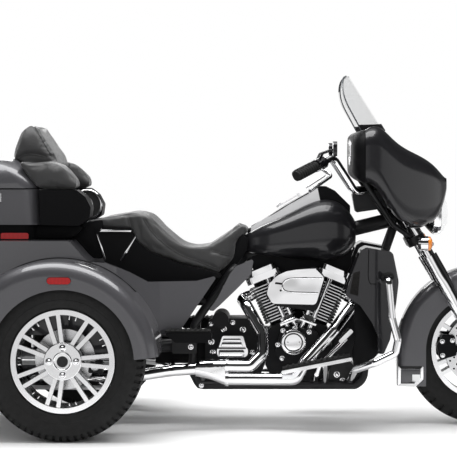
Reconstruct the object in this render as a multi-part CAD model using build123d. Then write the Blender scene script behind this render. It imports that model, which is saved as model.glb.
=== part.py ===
from build123d import *
import os
from math import cos, radians, sin, tan

# Driving sizes in millimetres: X forward, Y to the left, Z up from the ground
WHEELBASE = 1670
REAR_AXLE_X = -657
FRONT_AXLE_X = REAR_AXLE_X + WHEELBASE
REAR_TYRE_RADIUS = 315
REAR_TYRE_WIDTH = 205
REAR_BEAD_RADIUS = 190
FRONT_TYRE_RADIUS = 310
FRONT_TYRE_WIDTH = 130
FRONT_BEAD_RADIUS = 197
BODY_HALF_WIDTH = 695
FENDER_COVER = 32.5
TYRE_ROOM = 17.5
REAR_FENDER_ROOM = 90
FRONT_FENDER_ROOM = 38
FRONT_FENDER_SIDE_ROOM = 15
FORK_ROOM = 35
RAKE = 26
TRAIL = 99
FORK_ANGLE = 29.7
CRANK_X = 258
CRANK_Z = 265
CASE_HALF_WIDTH = 95
V_ANGLE = 45
FIN_COUNT = 13
FIN_PITCH = 12.5
SPOKE_PAIRS = 7
WALL = 8
TRUNK_REAR_X = -1310
TRUNK_FRONT_X = -575
TRUNK_TOP_Z = 772
BOOT_FLOOR_Z = 400
CORNER_POST = 105
LID_GAP = 5
TUB_HALF_WIDTH = 318
TUB_FLOOR_Z = 833
TUB_RIM_Z = 975
SKIRT_HALF_WIDTH = 200
TUNNEL_HALF_WIDTH = 42
LAMP_RADIUS = 88
LAMP_Z = 873
SEAT_CLEARANCE = 0.3
SPINDLE_RADIUS = 20
FRONT_SPINDLE_RADIUS = 12
STEM_RADIUS = 24
PIN_RADIUS = 3
PIN_CLEARANCE = 0.2

REAR_AXLE_Z = REAR_TYRE_RADIUS
FRONT_AXLE_Z = FRONT_TYRE_RADIUS
REAR_WHEEL_Y = BODY_HALF_WIDTH - FENDER_COVER - REAR_TYRE_WIDTH / 2
TRUNK_HALF_WIDTH = REAR_WHEEL_Y - REAR_TYRE_WIDTH / 2 - TYRE_ROOM
BOOT_OPENING_HALF_WIDTH = TRUNK_HALF_WIDTH - CORNER_POST
MUFFLER_Y = -(TRUNK_HALF_WIDTH - 60)
REAR_FENDER_RADIUS = REAR_TYRE_RADIUS + REAR_FENDER_ROOM
REAR_FENDER_CENTRE = (REAR_AXLE_X - 33, REAR_AXLE_Z - 15)
FRONT_FENDER_RADIUS = FRONT_TYRE_RADIUS + FRONT_FENDER_ROOM
FRONT_FENDER_HALF_WIDTH = FRONT_TYRE_WIDTH / 2 + FRONT_FENDER_SIDE_ROOM
FORK_HALF_SPACING = FRONT_FENDER_HALF_WIDTH + FORK_ROOM

# The body's rows are drawn with the axle centres at these points of x and z
DRAWN_REAR_AXLE = (-657, 315)
DRAWN_FRONT_AXLE = (1013, 310)


def at(x, y, z):
    """A point of the drawing, carried along and up with the axles that it stands between."""
    drawn_rear_x, drawn_rear_z = DRAWN_REAR_AXLE
    drawn_front_x, drawn_front_z = DRAWN_FRONT_AXLE
    share = (x - drawn_rear_x) / (drawn_front_x - drawn_rear_x)
    rear_lift = REAR_AXLE_Z - drawn_rear_z
    front_lift = FRONT_AXLE_Z - drawn_front_z
    return (REAR_AXLE_X + share * WHEELBASE, y, z + rear_lift + share * (front_lift - rear_lift))


def side_slab(rows, y_low, y_high):
    """Closed outline of x, z and corner radius, carried across from y_low to y_high."""
    corners = [at(x, y_low, z) for x, z, _ in rows]
    edge = FilletPolyline(*corners, radius=[r for _, _, r in rows], close=True)
    return extrude(make_face(edge), amount=y_high - y_low, dir=(0, 1, 0))


def plan_slab(rows, z_low, z_high):
    """Closed outline of x, y and corner radius, carried up from z_low to z_high."""
    corners = [at(x, y, z_low) for x, y, _ in rows]
    edge = FilletPolyline(*corners, radius=[r for _, _, r in rows], close=True)
    return extrude(make_face(edge), amount=z_high - z_low, dir=(0, 0, 1))


def front_slab(rows, x_low, x_high):
    """Closed outline of y, z and corner radius, carried forward from x_low to x_high."""
    corners = [at(x_low, y, z) for y, z, _ in rows]
    edge = FilletPolyline(*corners, radius=[r for _, _, r in rows], close=True)
    return extrude(make_face(edge), amount=at(x_high, 0, 0)[0] - at(x_low, 0, 0)[0], dir=(1, 0, 0))


def turned(rows, centre=(0, 0, 0), arc=360, start=0):
    """Closed outline of y, radius and corner radius, turned about an axle along Y."""
    out = Vector(cos(radians(start)), 0, sin(radians(start)))
    corners = [Vector(*centre) + out * radius + Vector(0, y, 0) for y, radius, _ in rows]
    edge = FilletPolyline(*corners, radius=[r for _, _, r in rows], close=True)
    return revolve(make_face(edge), axis=Axis(centre, (0, -1, 0)), revolution_arc=arc)


def turned_ahead(rows, centre):
    """Closed outline of x, radius and corner radius, turned about a line along X through a drawn point."""
    _, y, z = at(*centre)
    corners = [(at(x, 0, 0)[0], y, z + radius) for x, radius, _ in rows]
    edge = FilletPolyline(*corners, radius=[r for _, _, r in rows], close=True)
    return revolve(make_face(edge), axis=Axis((0, y, z), (1, 0, 0)))


def bar(start, end, radius):
    """Round bar between two real points."""
    run = Vector(*end) - Vector(*start)
    return extrude(Plane(origin=start, z_dir=run) * Circle(radius), amount=run.length)


def rod(start, end, radius):
    """Round bar between two points of the drawing."""
    return bar(at(*start), at(*end), radius)


def bent(points, radius, bend):
    """Round bar along a bent path of real points."""
    path = FilletPolyline(*points, radius=bend)
    return sweep(Plane(origin=path @ 0, z_dir=path % 0) * Circle(radius), path=path)


def tube(points, radius, bend):
    """Round bar along a bent path of the drawing."""
    return bent([at(*point) for point in points], radius, bend)


def hull_along_x(rows, y=0):
    """Loft through sections of x, half width, low z, high z and corner radius."""
    sections = []
    for x, half_width, low, high, corner in rows:
        plane = Plane(origin=at(x, y, (low + high) / 2), x_dir=(0, 1, 0), z_dir=(1, 0, 0))
        sections.append(plane * RectangleRounded(2 * half_width, high - low, corner))
    return loft(sections)


def hull_upward(rows):
    """Loft through level sections of z, low x, high x, half width and corner radius."""
    sections = []
    for z, low, high, half_width, corner in rows:
        plane = Plane(origin=at((low + high) / 2, 0, z))
        length = at(high, 0, 0)[0] - at(low, 0, 0)[0]
        sections.append(plane * RectangleRounded(length, 2 * half_width, corner))
    return loft(sections)


def cross_pin(x, y, z, radius, length):
    """Pin along Y about a drawn point."""
    return Pos(*at(x, y, z)) * Rot(90, 0, 0) * Cylinder(radius, length)


def opposite(shape):
    """The same piece on the left side."""
    return mirror(shape, about=Plane.XZ)


def pair(*shapes):
    """Like pieces of one node, kept as separate solids."""
    return Compound(children=[solid for shape in shapes for solid in shape.solids()])


def both_sides(shape):
    """A right-hand piece and its mirror image as separate solids."""
    return pair(shape, opposite(shape))


# Wheels
def tyre(radius, width, bead, bead_inset, levels, shoulder_inset, softness):
    """Tyre section turned about its axle: bead, two side levels and shoulder as shares of its height."""
    height = radius - bead
    half = width / 2
    low, high = (bead + share * height for share in levels)
    side, upper, shoulder = (share * height for share in softness)
    right = [
        (-half + bead_inset, bead, 0), (-half + bead_inset, bead + 0.11 * height, 0), (-half, low, side),
        (-half, high, upper), (-half + shoulder_inset, radius, shoulder),
    ]
    left = [(-y, r, c) for y, r, c in reversed(right)]
    return turned(right + left)


def barrel(bead, half, lip, flange):
    """Rim barrel between its two lips."""
    right = [
        (-half - lip, bead + flange, 3), (-half, bead + flange, 0), (-half, bead, 0),
    ]
    left = [(-y, r, c) for y, r, c in reversed(right)]
    return turned(right + left + [(half + lip, bead - 9, 0), (-half - lip, bead - 9, 0)])


def spokes(inner, outer, y_low, y_high):
    """Pairs of straight spokes from hub to barrel."""
    made = []
    for number in range(SPOKE_PAIRS):
        turn = Rot(0, number * 360 / SPOKE_PAIRS, 0)
        for side in (-1, 1):
            corners = [
                (inner, y_low, side * 12 - 8), (outer, y_low, side * 23 - 8),
                (outer, y_low, side * 23 + 8), (inner, y_low, side * 12 + 8),
            ]
            face = make_face(Polyline(*corners, close=True))
            made.append(turn * extrude(face, amount=y_high - y_low, dir=(0, 1, 0)))
    return made


def rear_wheel():
    """Right rear wheel about its own centre, outer side towards -Y."""
    half = REAR_TYRE_WIDTH / 2 - 23.5
    levels, softness = (0.4, 0.69), (0.16, 0.11, 0.13)
    rubber = tyre(REAR_TYRE_RADIUS, REAR_TYRE_WIDTH, REAR_BEAD_RADIUS, 23.5, levels, 18.5, softness)
    rim = barrel(REAR_BEAD_RADIUS, half, 11, 13)
    rim += turned([(-84, 0, 0), (-84, 74, 4), (-30, 74, 0), (-30, 60, 0), (35, 60, 0), (35, 0, 0)])
    for spoke in spokes(66, REAR_BEAD_RADIUS - 5, -80, -52):
        rim += spoke
    rim += turned([(-92, 0, 0), (-92, 36, 4), (-84, 36, 0), (-84, 0, 0)])
    rim += turned([(10, 60, 0), (10, 118, 0), (18, 118, 0), (18, 60, 0)])
    return rubber, rim - bar((0, -40, 0), (0, 40, 0), SPINDLE_RADIUS + PIN_CLEARANCE)


def front_wheel():
    """Front wheel about its own centre with a brake disc each side."""
    side = FRONT_TYRE_WIDTH / 2
    levels, softness = (0.345, 0.575), (0.14, 0.14, 0.32)
    rubber = tyre(FRONT_TYRE_RADIUS, FRONT_TYRE_WIDTH, FRONT_BEAD_RADIUS, 19, levels, 21, softness)
    rim = barrel(FRONT_BEAD_RADIUS, side - 19, 10, 11)
    rim += turned([(3 - side, 0, 0), (3 - side, 42, 3), (side - 3, 42, 3), (side - 3, 0, 0)])
    for spoke in spokes(55, FRONT_BEAD_RADIUS - 5, 23 - side, side - 23):
        rim += spoke
    rim += turned([(25 - side, 0, 0), (25 - side, 62, 3), (side - 25, 62, 3), (side - 25, 0, 0)])
    disc = turned([
        (-side - 5, 30, 0), (-side - 5, 150, 0), (1 - side, 150, 0), (1 - side, 42, 0),
        (5 - side, 42, 0), (5 - side, 30, 0),
    ])
    rim += disc
    rim += opposite(disc)
    return rubber, rim - bar((0, -side - 9, 0), (0, side + 9, 0), FRONT_SPINDLE_RADIUS + PIN_CLEARANCE)


# Rear axle, arm and springs
def rear_axle():
    """Differential, axle tubes and the spindles the rear wheels turn on."""
    right = [
        (-REAR_WHEEL_Y - 30, 0, 0), (-REAR_WHEEL_Y - 30, SPINDLE_RADIUS, 0),
        (-REAR_WHEEL_Y + 41, SPINDLE_RADIUS, 0), (-REAR_WHEEL_Y + 41, 52, 4),
        (-REAR_WHEEL_Y + 120, 52, 4), (-REAR_WHEEL_Y + 130, 34, 0), (-120, 34, 0), (-90, 72, 10),
    ]
    left = [(-y, r, c) for y, r, c in reversed(right)]
    return turned(right + left, (REAR_AXLE_X, 0, REAR_AXLE_Z))


def rear_caliper():
    """Right rear brake caliper with its bracket to the axle end."""
    y = -REAR_WHEEL_Y
    rows = [(-567, 262, 8), (-560, 306, 8), (-508, 306, 8), (-508, 262, 8)]
    block = side_slab(rows, y - 6, y + 42)
    slot = side_slab([(-575, 250, 0), (-575, 315, 0), (-534, 315, 0), (-534, 250, 0)], y + 4, y + 24)
    bracket_rows = [(-657, 285, 0), (-657, 330, 0), (-540, 300, 5), (-540, 268, 5)]
    return block - slot + side_slab(bracket_rows, y + 42, y + 54)


def swingarm():
    """Rear fork from its pivot behind the gearbox to the axle tubes."""
    arm = tube([(-232, -104, 330), (-420, -150, 325), (-630, -150, 318)], 26, 60)
    pivot = rod((-232, -140, 330), (-232, 140, 330), 30)
    return arm + opposite(arm) + pivot


def rear_shocks():
    """Spring units standing on the arms below the boot floor."""
    spring = rod((-520, -150, 330), (-520, -150, BOOT_FLOOR_Z), 30)
    return spring + opposite(spring)


# Frame
def steering_point(z):
    """Point on the steering line at a drawn height."""
    drawn_x, _ = DRAWN_FRONT_AXLE
    return at(drawn_x + TRAIL - z * tan(radians(RAKE)), 0, z)


def front_mount():
    """Dark block ahead of the crank case between the rails."""
    rows = [
        (304, 154, 10), (447, 154, 14), (512, 176, 14), (500, 226, 14), (464, 272, 14), (390, 252, 4),
        (380, 186, 4), (330, 186, 8),
    ]
    return side_slab(rows, 1 - CASE_HALF_WIDTH, CASE_HALF_WIDTH - 1)


def frame():
    """Backbone, steering head, down tubes, lower rails and seat tubes."""
    points = [
        (655, -34, 830), (560, -70, 560), (524, -112, 190), (490, -112, 168),
        (-150, -130, 168), (-182, -130, 230), (-170, -126, 420), (-20, -118, 636), (30, -36, 688),
    ]
    rail = tube(points, 17, [60, 60, 20, 30, 40, 60, 30])
    backbone = rod((660, 0, 850), (0, 0, 690), 30)
    head = bar(steering_point(786), steering_point(910), STEM_RADIUS + 12)
    bore = bar(steering_point(760), steering_point(950), STEM_RADIUS + PIN_CLEARANCE)
    cross = rod((-150, -130, 168), (-150, 130, 168), 14)
    pivot_plate = side_slab(
        [(-262, 300, 10), (-262, 362, 10), (-160, 362, 5), (-160, 300, 5)], -160, -140)
    seat_rail = tube([(-118, -123, 500), (-230, -125, 587), (-575, -125, 587)], 12, 60)
    tank_rest = rod((400, -TUNNEL_HALF_WIDTH, 787), (400, TUNNEL_HALF_WIDTH, 787), 12)
    right = rail + seat_rail + pivot_plate
    return right + opposite(right) + backbone + head + cross + tank_rest + front_mount() - bore


# Engine
def cylinder_plane(lean):
    """Plane at the crank centre whose Z runs up a cylinder."""
    return Plane(
        origin=at(CRANK_X, 0, CRANK_Z),
        x_dir=(cos(radians(lean)), 0, sin(radians(lean))),
        z_dir=(-sin(radians(lean)), 0, cos(radians(lean))),
    )


def cylinder(lean):
    """Barrel and head with cooling fins, leaning from the crank centre."""
    axis_plane = cylinder_plane(lean)
    core = axis_plane * Pos(0, 0, 175) * extrude(Circle(54), amount=190)
    for fin in range(FIN_COUNT):
        level = 190 + fin * FIN_PITCH
        reach = 70 if fin < 9 else 78
        plate = Pos(0, 0, level) * extrude(RectangleRounded(2 * reach, 156, 26), amount=4)
        core += axis_plane * plate
    return core


def rocker_cover(lean):
    """Two-step cover on a cylinder head."""
    axis_plane = cylinder_plane(lean)
    base = Pos(0, 0, 365) * extrude(RectangleRounded(150, 200, 24), amount=26)
    top = Pos(0, 0, 391) * extrude(RectangleRounded(128, 150, 26), amount=22)
    return axis_plane * (base + top)


def engine_cases():
    """Crank case as one plain block below the cylinders."""
    rows = [
        (120, 250, 40), (150, 188, 50), (360, 188, 50), (402, 260, 40), (380, 400, 30),
        (318, 440, 20), (258, 420, 20), (196, 440, 20), (135, 400, 30),
    ]
    case = side_slab(rows, -CASE_HALF_WIDTH, CASE_HALF_WIDTH)
    for lean in (V_ANGLE / 2, -V_ANGLE / 2):
        barrel_seat = Pos(0, 0, 175) * extrude(RectangleRounded(190, 260, 10), amount=90)
        case -= cylinder_plane(lean) * barrel_seat
    return case


def cam_cover():
    """Bright cover on the right of the crank case with its round centre."""
    rows = [
        (160, 300, 30), (190, 262, 30), (330, 262, 30), (356, 310, 30), (330, 400, 35),
        (190, 412, 35),
    ]
    cover = side_slab(rows, -150, -CASE_HALF_WIDTH)
    cover += rod((236, -166, 349), (236, -150, 349), 52)
    cover += rod((236, -172, 349), (236, -166, 349), 44)
    for lean in (V_ANGLE / 2, -V_ANGLE / 2):
        for offset in (12, 44):
            foot = Pos(offset if lean > 0 else -offset, -107, 120)
            cover += cylinder_plane(lean) * foot * extrude(Circle(10), amount=245)
    return cover


def inset(rows, step):
    """The same outline drawn in by a step towards its middle."""
    middle_x = sum(x for x, _, _ in rows) / len(rows)
    middle_z = sum(z for _, z, _ in rows) / len(rows)
    drawn = []
    for x, z, corner in rows:
        reach = ((x - middle_x) ** 2 + (z - middle_z) ** 2) ** 0.5
        keep = 1 - 1.3 * step / reach
        new_x = middle_x + (x - middle_x) * keep
        new_z = middle_z + (z - middle_z) * keep
        drawn.append((new_x, new_z, max(corner - step, 2)))
    return drawn


def air_cleaner(rockers):
    """Backing plate on the carburettor side and the bright cover over it."""
    backing_rows = [
        (120, 540, 20), (150, 600, 25), (330, 662, 25), (364, 616, 20), (330, 478, 20), (168, 500, 20),
    ]
    panel_rows = [(192, 556, 12), (200, 600, 16), (316, 632, 10), (334, 606, 10), (322, 556, 10)]
    cover_rows = [
        (128, 552, 15), (140, 600, 22), (322, 656, 24), (360, 618, 18), (326, 508, 18), (150, 512, 20),
    ]
    backing = side_slab(backing_rows, -206, -170) + rod((245, -172, 560), (245, -60, 560), 26)
    backing += rod((340, -172, 632), (340, -88, 632), 6) - rockers
    cover = side_slab(cover_rows, -240, -206) + side_slab(inset(cover_rows, 5), -246, -240)
    return backing, cover - side_slab(panel_rows, -247, -241)


def transmission():
    """Gearbox block with its round filler cover, and the bright end cover."""
    rows = [
        (-128, 240, 25), (-100, 206, 30), (100, 206, 15), (118, 250, 15), (118, 390, 15), (60, 440, 25),
        (-110, 440, 25), (-128, 380, 20),
    ]
    case = side_slab(rows, -CASE_HALF_WIDTH, CASE_HALF_WIDTH) + rod((-63, -140, 437), (-63, 60, 437), 34)
    foot_rows = [(-76, 288, 18), (50, 288, 18), (50, 332, 18), (-76, 332, 18)]
    top_rows = [(-70, 325, 4), (44, 325, 4), (30, 374, 8), (-54, 374, 8)]
    cover = side_slab(foot_rows, -176, -CASE_HALF_WIDTH) + side_slab(top_rows, -166, -CASE_HALF_WIDTH)
    return case, cover


def primary_cover():
    """Long bright chain case on the left side."""
    rows = [(-120, 210, 80), (350, 190, 90), (360, 390, 90), (-110, 400, 80)]
    return side_slab(rows, CASE_HALF_WIDTH, CASE_HALF_WIDTH + 90)


def exhaust():
    """Head pipes with their collector, and a silencer each side."""
    front_port = cylinder_plane(-V_ANGLE / 2)
    rear_port = cylinder_plane(V_ANGLE / 2)
    front_low = [(478, -128, 494), (403, -180, 402), (286, -214, 276), (244, -240, 206), (-40, -240, 206)]
    front = bent([
        front_port.from_local_coords((78, -30, 322)), front_port.from_local_coords((125, -30, 322)),
        *[at(*point) for point in front_low],
    ], 25, 28)
    rear_low = [(44, -150, 498), (110, -190, 385), (112, -226, 306), (62, -240, 258), (-40, -240, 258)]
    rear = bent([
        rear_port.from_local_coords((-78, -30, 322)), rear_port.from_local_coords((-122, -30, 322)),
        *[at(*point) for point in rear_low],
    ], 24, 25)
    collector = hull_along_x([
        (-160, 30, 216, 278, 28), (-110, 34, 206, 284, 30), (-40, 30, 180, 284, 28),
    ], -240)
    y, z = MUFFLER_Y, 226
    run = tube([(-160, -240, 247), (-260, -262, 242), (-420, y + 6, 228), (-474, y, z)], 24, 90)
    body = turned_ahead([
        (-1215, 0, 0), (-1215, 42, 4), (-1190, 50, 4), (-500, 50, 20), (-470, 24, 4), (-470, 0, 0),
    ], (-900, y, z))
    body += rod((-900, y, z + 34), (-900, y, BOOT_FLOOR_Z), 7)
    mouth = rod((-1216, y, z), (-1180, y, z), 34)
    right = run + body + collector - mouth
    cross = tube([
        (-250, -210, 236), (-262, -120, 228), (-270, 120, z), (-330, -y - 50, z), (-474, -y, z),
    ], 22, 60)
    left = opposite(body) - opposite(mouth) + (cross - run)
    return front, rear, right, left


# Tank and seat
def fuel_tank():
    """Teardrop tank with the tunnel that sits over the backbone."""
    body = hull_along_x([
        (8, 40, 722, 760, 14), (60, 98, 709, 798, 34), (150, 142, 696, 842, 56),
        (280, 162, 682, 904, 84), (390, 158, 680, 928, 96), (462, 128, 712, 884, 70),
        (492, 92, 752, 838, 38),
    ])
    tunnel_rows = [(-10, 640, 0), (-10, 732, 0), (520, 860, 0), (520, 640, 0)]
    tunnel = side_slab(tunnel_rows, -TUNNEL_HALF_WIDTH, TUNNEL_HALF_WIDTH)
    return body - tunnel


def console(tank):
    """Raised strip along the top of the tank with the gauge block at its front."""
    rows = [
        (60, 786, 0), (60, 816, 8), (213, 914, 30), (338, 985, 16), (372, 984, 12),
        (408, 966, 12), (470, 905, 10), (470, 850, 0), (300, 850, 0),
    ]
    strip = side_slab(rows, -58, 58)
    plan_rows = [(20, -30, 10), (220, -58, 40), (480, -58, 20), (480, 58, 20), (220, 58, 40), (20, 30, 10)]
    plan = plan_slab(plan_rows, 600, 1100)
    return (strip & plan) - tank + flap_hinge()


FLAP_RUN = Vector(*at(337, 0, 986)) - Vector(*at(212, 0, 915))
FLAP_PLANE = Plane(origin=at(212, 0, 915), x_dir=FLAP_RUN, z_dir=(-FLAP_RUN.Z, 0, FLAP_RUN.X))
FLAP_PIN = (56, 9)


def flap_hinge():
    """Two lugs on the console with the pin of the filler flap."""
    x, z = FLAP_PIN
    lug = Pos(x, 24, z - 8) * Box(12, 8, 26)
    pin = Pos(x, 0, z) * Rot(90, 0, 0) * Cylinder(PIN_RADIUS, 56)
    return FLAP_PLANE * (lug + mirror(lug, about=Plane.XZ) + pin)


def fuel_door():
    """Hinged flap over the filler with its knuckle."""
    x, z = FLAP_PIN
    flap = Pos(0, 0, 5) * extrude(RectangleRounded(96, 78, 14), amount=6)
    web = Pos(50, 0, 7) * Box(16, 36, 4)
    knuckle = Pos(x, 0, z) * Rot(90, 0, 0) * Cylinder(6.5, 36)
    bore = Pos(x, 0, z) * Rot(90, 0, 0) * Cylinder(PIN_RADIUS + PIN_CLEARANCE, 60)
    relief = Pos(x, 0, 8) * (Pos(0, 25, 0) * Box(26, 12, 12) + Pos(0, -25, 0) * Box(26, 12, 12))
    return FLAP_PLANE * (flap - relief + web + knuckle - bore)


def seat():
    """Rider's seat with the raised passenger seat behind."""
    gap = SEAT_CLEARANCE
    rows = [
        (TRUNK_FRONT_X, 816 + gap, 4), (-562, 848, 20), (-423, 871, 100), (-366, 872, 60), (-296, 800, 200),
        (-222, 738, 100), (-169, 728, 100), (-108, 736, 100), (-19, 796, 200), (30, 838, 14),
        (53, 818, 8), (40, 798, 8), (-3, 768, 6), (-14, 698, 10), (-62, 631 + gap, 0),
        (-226, 670 + gap, 0), (-349, 719 + gap, 0), (-405, 767 + gap, 0), (-425, 816 + gap, 0),
    ]
    half = SKIRT_HALF_WIDTH + 4
    right = [
        (TRUNK_FRONT_X - 1, -half + 8, 40), (-420, -half, 60), (-200, -half + 18, 80), (-60, -half + 44, 60),
        (54, -half + 112, 30),
    ]
    left = [(x, -y, corner) for x, y, corner in reversed(right)]
    return side_slab(rows, -half - 6, half + 6) & plan_slab(right + left, 500, 1000)


def seat_skirt():
    """Dark moulding that carries the seat between the side panels."""
    rows = [
        (TRUNK_FRONT_X, 816, 0), (-560, 760, 10), (-534, 679, 10), (-469, 654, 10), (-355, 600, 20),
        (-160, 598, 10), (-55, 618, 5), (-64, 631, 0), (-226, 670, 0), (-349, 719, 0),
        (-406, 767, 0), (-426, 816, 0),
    ]
    block = side_slab(rows, -SKIRT_HALF_WIDTH, SKIRT_HALF_WIDTH)
    tunnel = side_slab([(-160, 560, 0), (-160, 660, 0), (0, 700, 0), (0, 560, 0)], -146, 146)
    return block - tunnel


# Rear body
BOOT_PIN = (TRUNK_REAR_X - 9, BOOT_FLOOR_Z + 18)
BOOT_HINGE_Y = BOOT_OPENING_HALF_WIDTH - 105
PANEL_FRONT_Y = SKIRT_HALF_WIDTH + 5
# Right side panel in plan: x and the share of the way out from its front end to the boot's side
PANEL_PLAN = [(TRUNK_FRONT_X, 1.0, 0), (-470, 0.95, 60), (-300, 0.575, 60), (-60, 0.0, 0)]


def trunk_outer(inset_by):
    """Outer form of the boot, drawn in by a wall."""
    d = inset_by
    rear, front, top, floor = TRUNK_REAR_X + d, TRUNK_FRONT_X - d, TRUNK_TOP_Z - d, BOOT_FLOOR_Z + d
    half = TRUNK_HALF_WIDTH - d
    side_rows = [
        (rear, floor, 20 - d), (rear, top, 60 - d), (-652 - d / 2, top, 20 - d),
        (-600 - d / 2, 712 - d / 2, 20 - d), (front, 690 - d / 2, 5), (front, floor, 5),
    ]
    plan_rows = [(rear, -half, 90 - d), (front, -half, 0), (front, half, 0), (rear, half, 90 - d)]
    return side_slab(side_rows, -half, half) & plan_slab(plan_rows, floor - 60, top + 60)


def boot_opening(gap):
    """Outline of the rear opening in y and z, drawn in by a gap."""
    half = BOOT_OPENING_HALF_WIDTH - gap
    low, high = BOOT_FLOOR_Z + 25 + gap, TRUNK_TOP_Z - 67 - gap
    low_corner, high_corner = 25 - gap / 2, 40 - gap
    lower = [(-half, low, low_corner), (half, low, low_corner)]
    return lower + [(half, high, high_corner), (-half, high, high_corner)]


def trunk_body():
    """Hollow boot between the rear fenders, open at the back."""
    opening = front_slab(boot_opening(0), TRUNK_REAR_X - 10, TRUNK_REAR_X + 20)
    x, z = BOOT_PIN
    hinge = cross_pin(x, -BOOT_HINGE_Y, z, PIN_RADIUS, 60)
    for step in (-22, 22):
        hinge += Pos(*at(x + 4, -BOOT_HINGE_Y + step, z)) * Box(18, 14, 12)
    return trunk_outer(0) - trunk_outer(WALL) - opening + hinge + opposite(hinge)


def tailgate():
    """Boot lid filling the rear opening, with its two hinge knuckles."""
    lid = front_slab(boot_opening(LID_GAP), TRUNK_REAR_X - 14, TRUNK_REAR_X + 8)
    x, z = BOOT_PIN
    knuckle = cross_pin(x, -BOOT_HINGE_Y, z, 7, 28) + Pos(*at(x - 2, -BOOT_HINGE_Y, z + 8)) * Box(8, 28, 12)
    knuckle -= cross_pin(x, -BOOT_HINGE_Y, z, PIN_RADIUS + PIN_CLEARANCE, 40)
    return lid + knuckle + opposite(knuckle)


def panel_rows(step):
    """The right side panel's line in plan, moved in by a step."""
    reach = TRUNK_HALF_WIDTH - PANEL_FRONT_Y
    return [(x, -PANEL_FRONT_Y - reach * share + step, corner) for x, share, corner in PANEL_PLAN]


def rear_fender(marker):
    """Right rear fender: crown and outer skirt round the wheel."""
    fx, fz = REAR_FENDER_CENTRE
    outer, skirt = REAR_FENDER_RADIUS, REAR_FENDER_RADIUS - 225
    side, inner_end = -BODY_HALF_WIDTH, -(TRUNK_HALF_WIDTH - 110)
    crown_rows = [
        (side, skirt, 0), (side, outer, 60), (inner_end, outer, 0),
        (inner_end, outer - WALL, 0), (side + WALL, outer - WALL, 52), (side + WALL, skirt, 0),
    ]
    shell = turned(crown_rows, (fx, 0, fz), 172, 5)
    centre = (REAR_AXLE_X, side - 25, REAR_AXLE_Z)
    wheel_opening = bar(centre, (REAR_AXLE_X, side + 55, REAR_AXLE_Z), REAR_TYRE_RADIUS - 35)
    back = TRUNK_REAR_X - 10
    inboard_rows = [(back, -TRUNK_HALF_WIDTH, 0), *panel_rows(0), (-60, -20, 0), (back, -20, 0)]
    return shell - wheel_opening - plan_slab(inboard_rows, 150, 1000) - marker


def side_panel():
    """Right body panel sweeping in from the fender to the seat."""
    side_rows = [
        (TRUNK_FRONT_X, 690, 0), (-506, 685, 10), (-418, 649, 10), (-346, 607, 12), (-155, 605, 12),
        (-71, 625, 8), (-215, 414, 12), (-299, 414, 14), (-302, 330, 10), (TRUNK_FRONT_X, 330, 0),
    ]
    plan = plan_slab(panel_rows(0) + list(reversed(panel_rows(10))), 250, 800)
    return side_slab(side_rows, -TRUNK_HALF_WIDTH - 10, -PANEL_FRONT_Y + 15) & plan


def side_cover():
    """Right cover below the seat nose with its peg into the seat tube."""
    rows = [
        (75, 693, 8), (2, 660, 16), (-23, 630, 12), (-75, 528, 12), (-110, 480, 4), (-90, 478, 6),
        (-59, 506, 10), (6, 569, 10), (62, 626, 8),
    ]
    return side_slab(rows, -190, -172) + rod((-45, -173, 575), (-45, -135, 575), 8)


def rear_lamps():
    """Right-hand red lamps: boot corner, wrap lamp under the luggage box and fender marker."""
    stand = 10
    rear, outer, inner = TRUNK_REAR_X - stand, -TRUNK_HALF_WIDTH - stand, -BOOT_OPENING_HALF_WIDTH - stand
    corner_rows = [(rear, outer, 100), (rear + 120, outer, 0), (rear + 120, inner, 0), (rear, inner, 0)]
    corner = plan_slab(corner_rows, 560, 640) - trunk_outer(0)
    wrap_rows = [(-942, 776, 4), (-830, 776, 4), (-830, 800, 8), (-942, 800, 8)]
    wrap = side_slab(wrap_rows, -TUB_HALF_WIDTH + 6, -TUB_HALF_WIDTH + 18)
    marker_x, fender_z = REAR_FENDER_CENTRE
    marker_z = fender_z + REAR_FENDER_RADIUS - 75
    face = Plane(origin=(marker_x + 24.5, 5 - BODY_HALF_WIDTH, marker_z), x_dir=(1, 0, 0), z_dir=(0, -1, 0))
    marker = extrude(face * SlotOverall(91, 26), amount=9)
    return corner, wrap, marker


def rear_bumper():
    """Bar below the boot lid."""
    rear, low, half = TRUNK_REAR_X - 30, BOOT_FLOOR_Z - 68, TRUNK_HALF_WIDTH - 40
    near, far, top = rear + 44, rear + 110, BOOT_FLOOR_Z
    bar_rows = [(rear, low, 14), (near, low, 10), (near, low + 52, 10), (rear, low + 52, 14)]
    stay_rows = [(near, low + 13, 0), (far, low + 13, 0), (far, top, 0), (near, top, 0)]
    stay = side_slab(stay_rows, -half + 100, -half + 140)
    return side_slab(bar_rows, -half, half) + stay + opposite(stay)


# Luggage box
LUGGAGE_PIN = (TUB_HALF_WIDTH + 26, TUB_RIM_Z + 3)
LUGGAGE_HINGES_X = (-1150, -900)


def along_pin(x, radius, length):
    """Round bar on the luggage lid's hinge line."""
    y, z = LUGGAGE_PIN
    return Pos(*at(x, y, z)) * Rot(0, 90, 0) * Cylinder(radius, length)


def tour_base():
    """Dark plinth between the boot and the luggage box."""
    half = TUB_HALF_WIDTH - 18
    rows = [(-1235, -half, 60), (-800, -half, 60), (-800, half, 60), (-1235, half, 60)]
    return plan_slab(rows, TRUNK_TOP_Z, TUB_FLOOR_Z)


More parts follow.
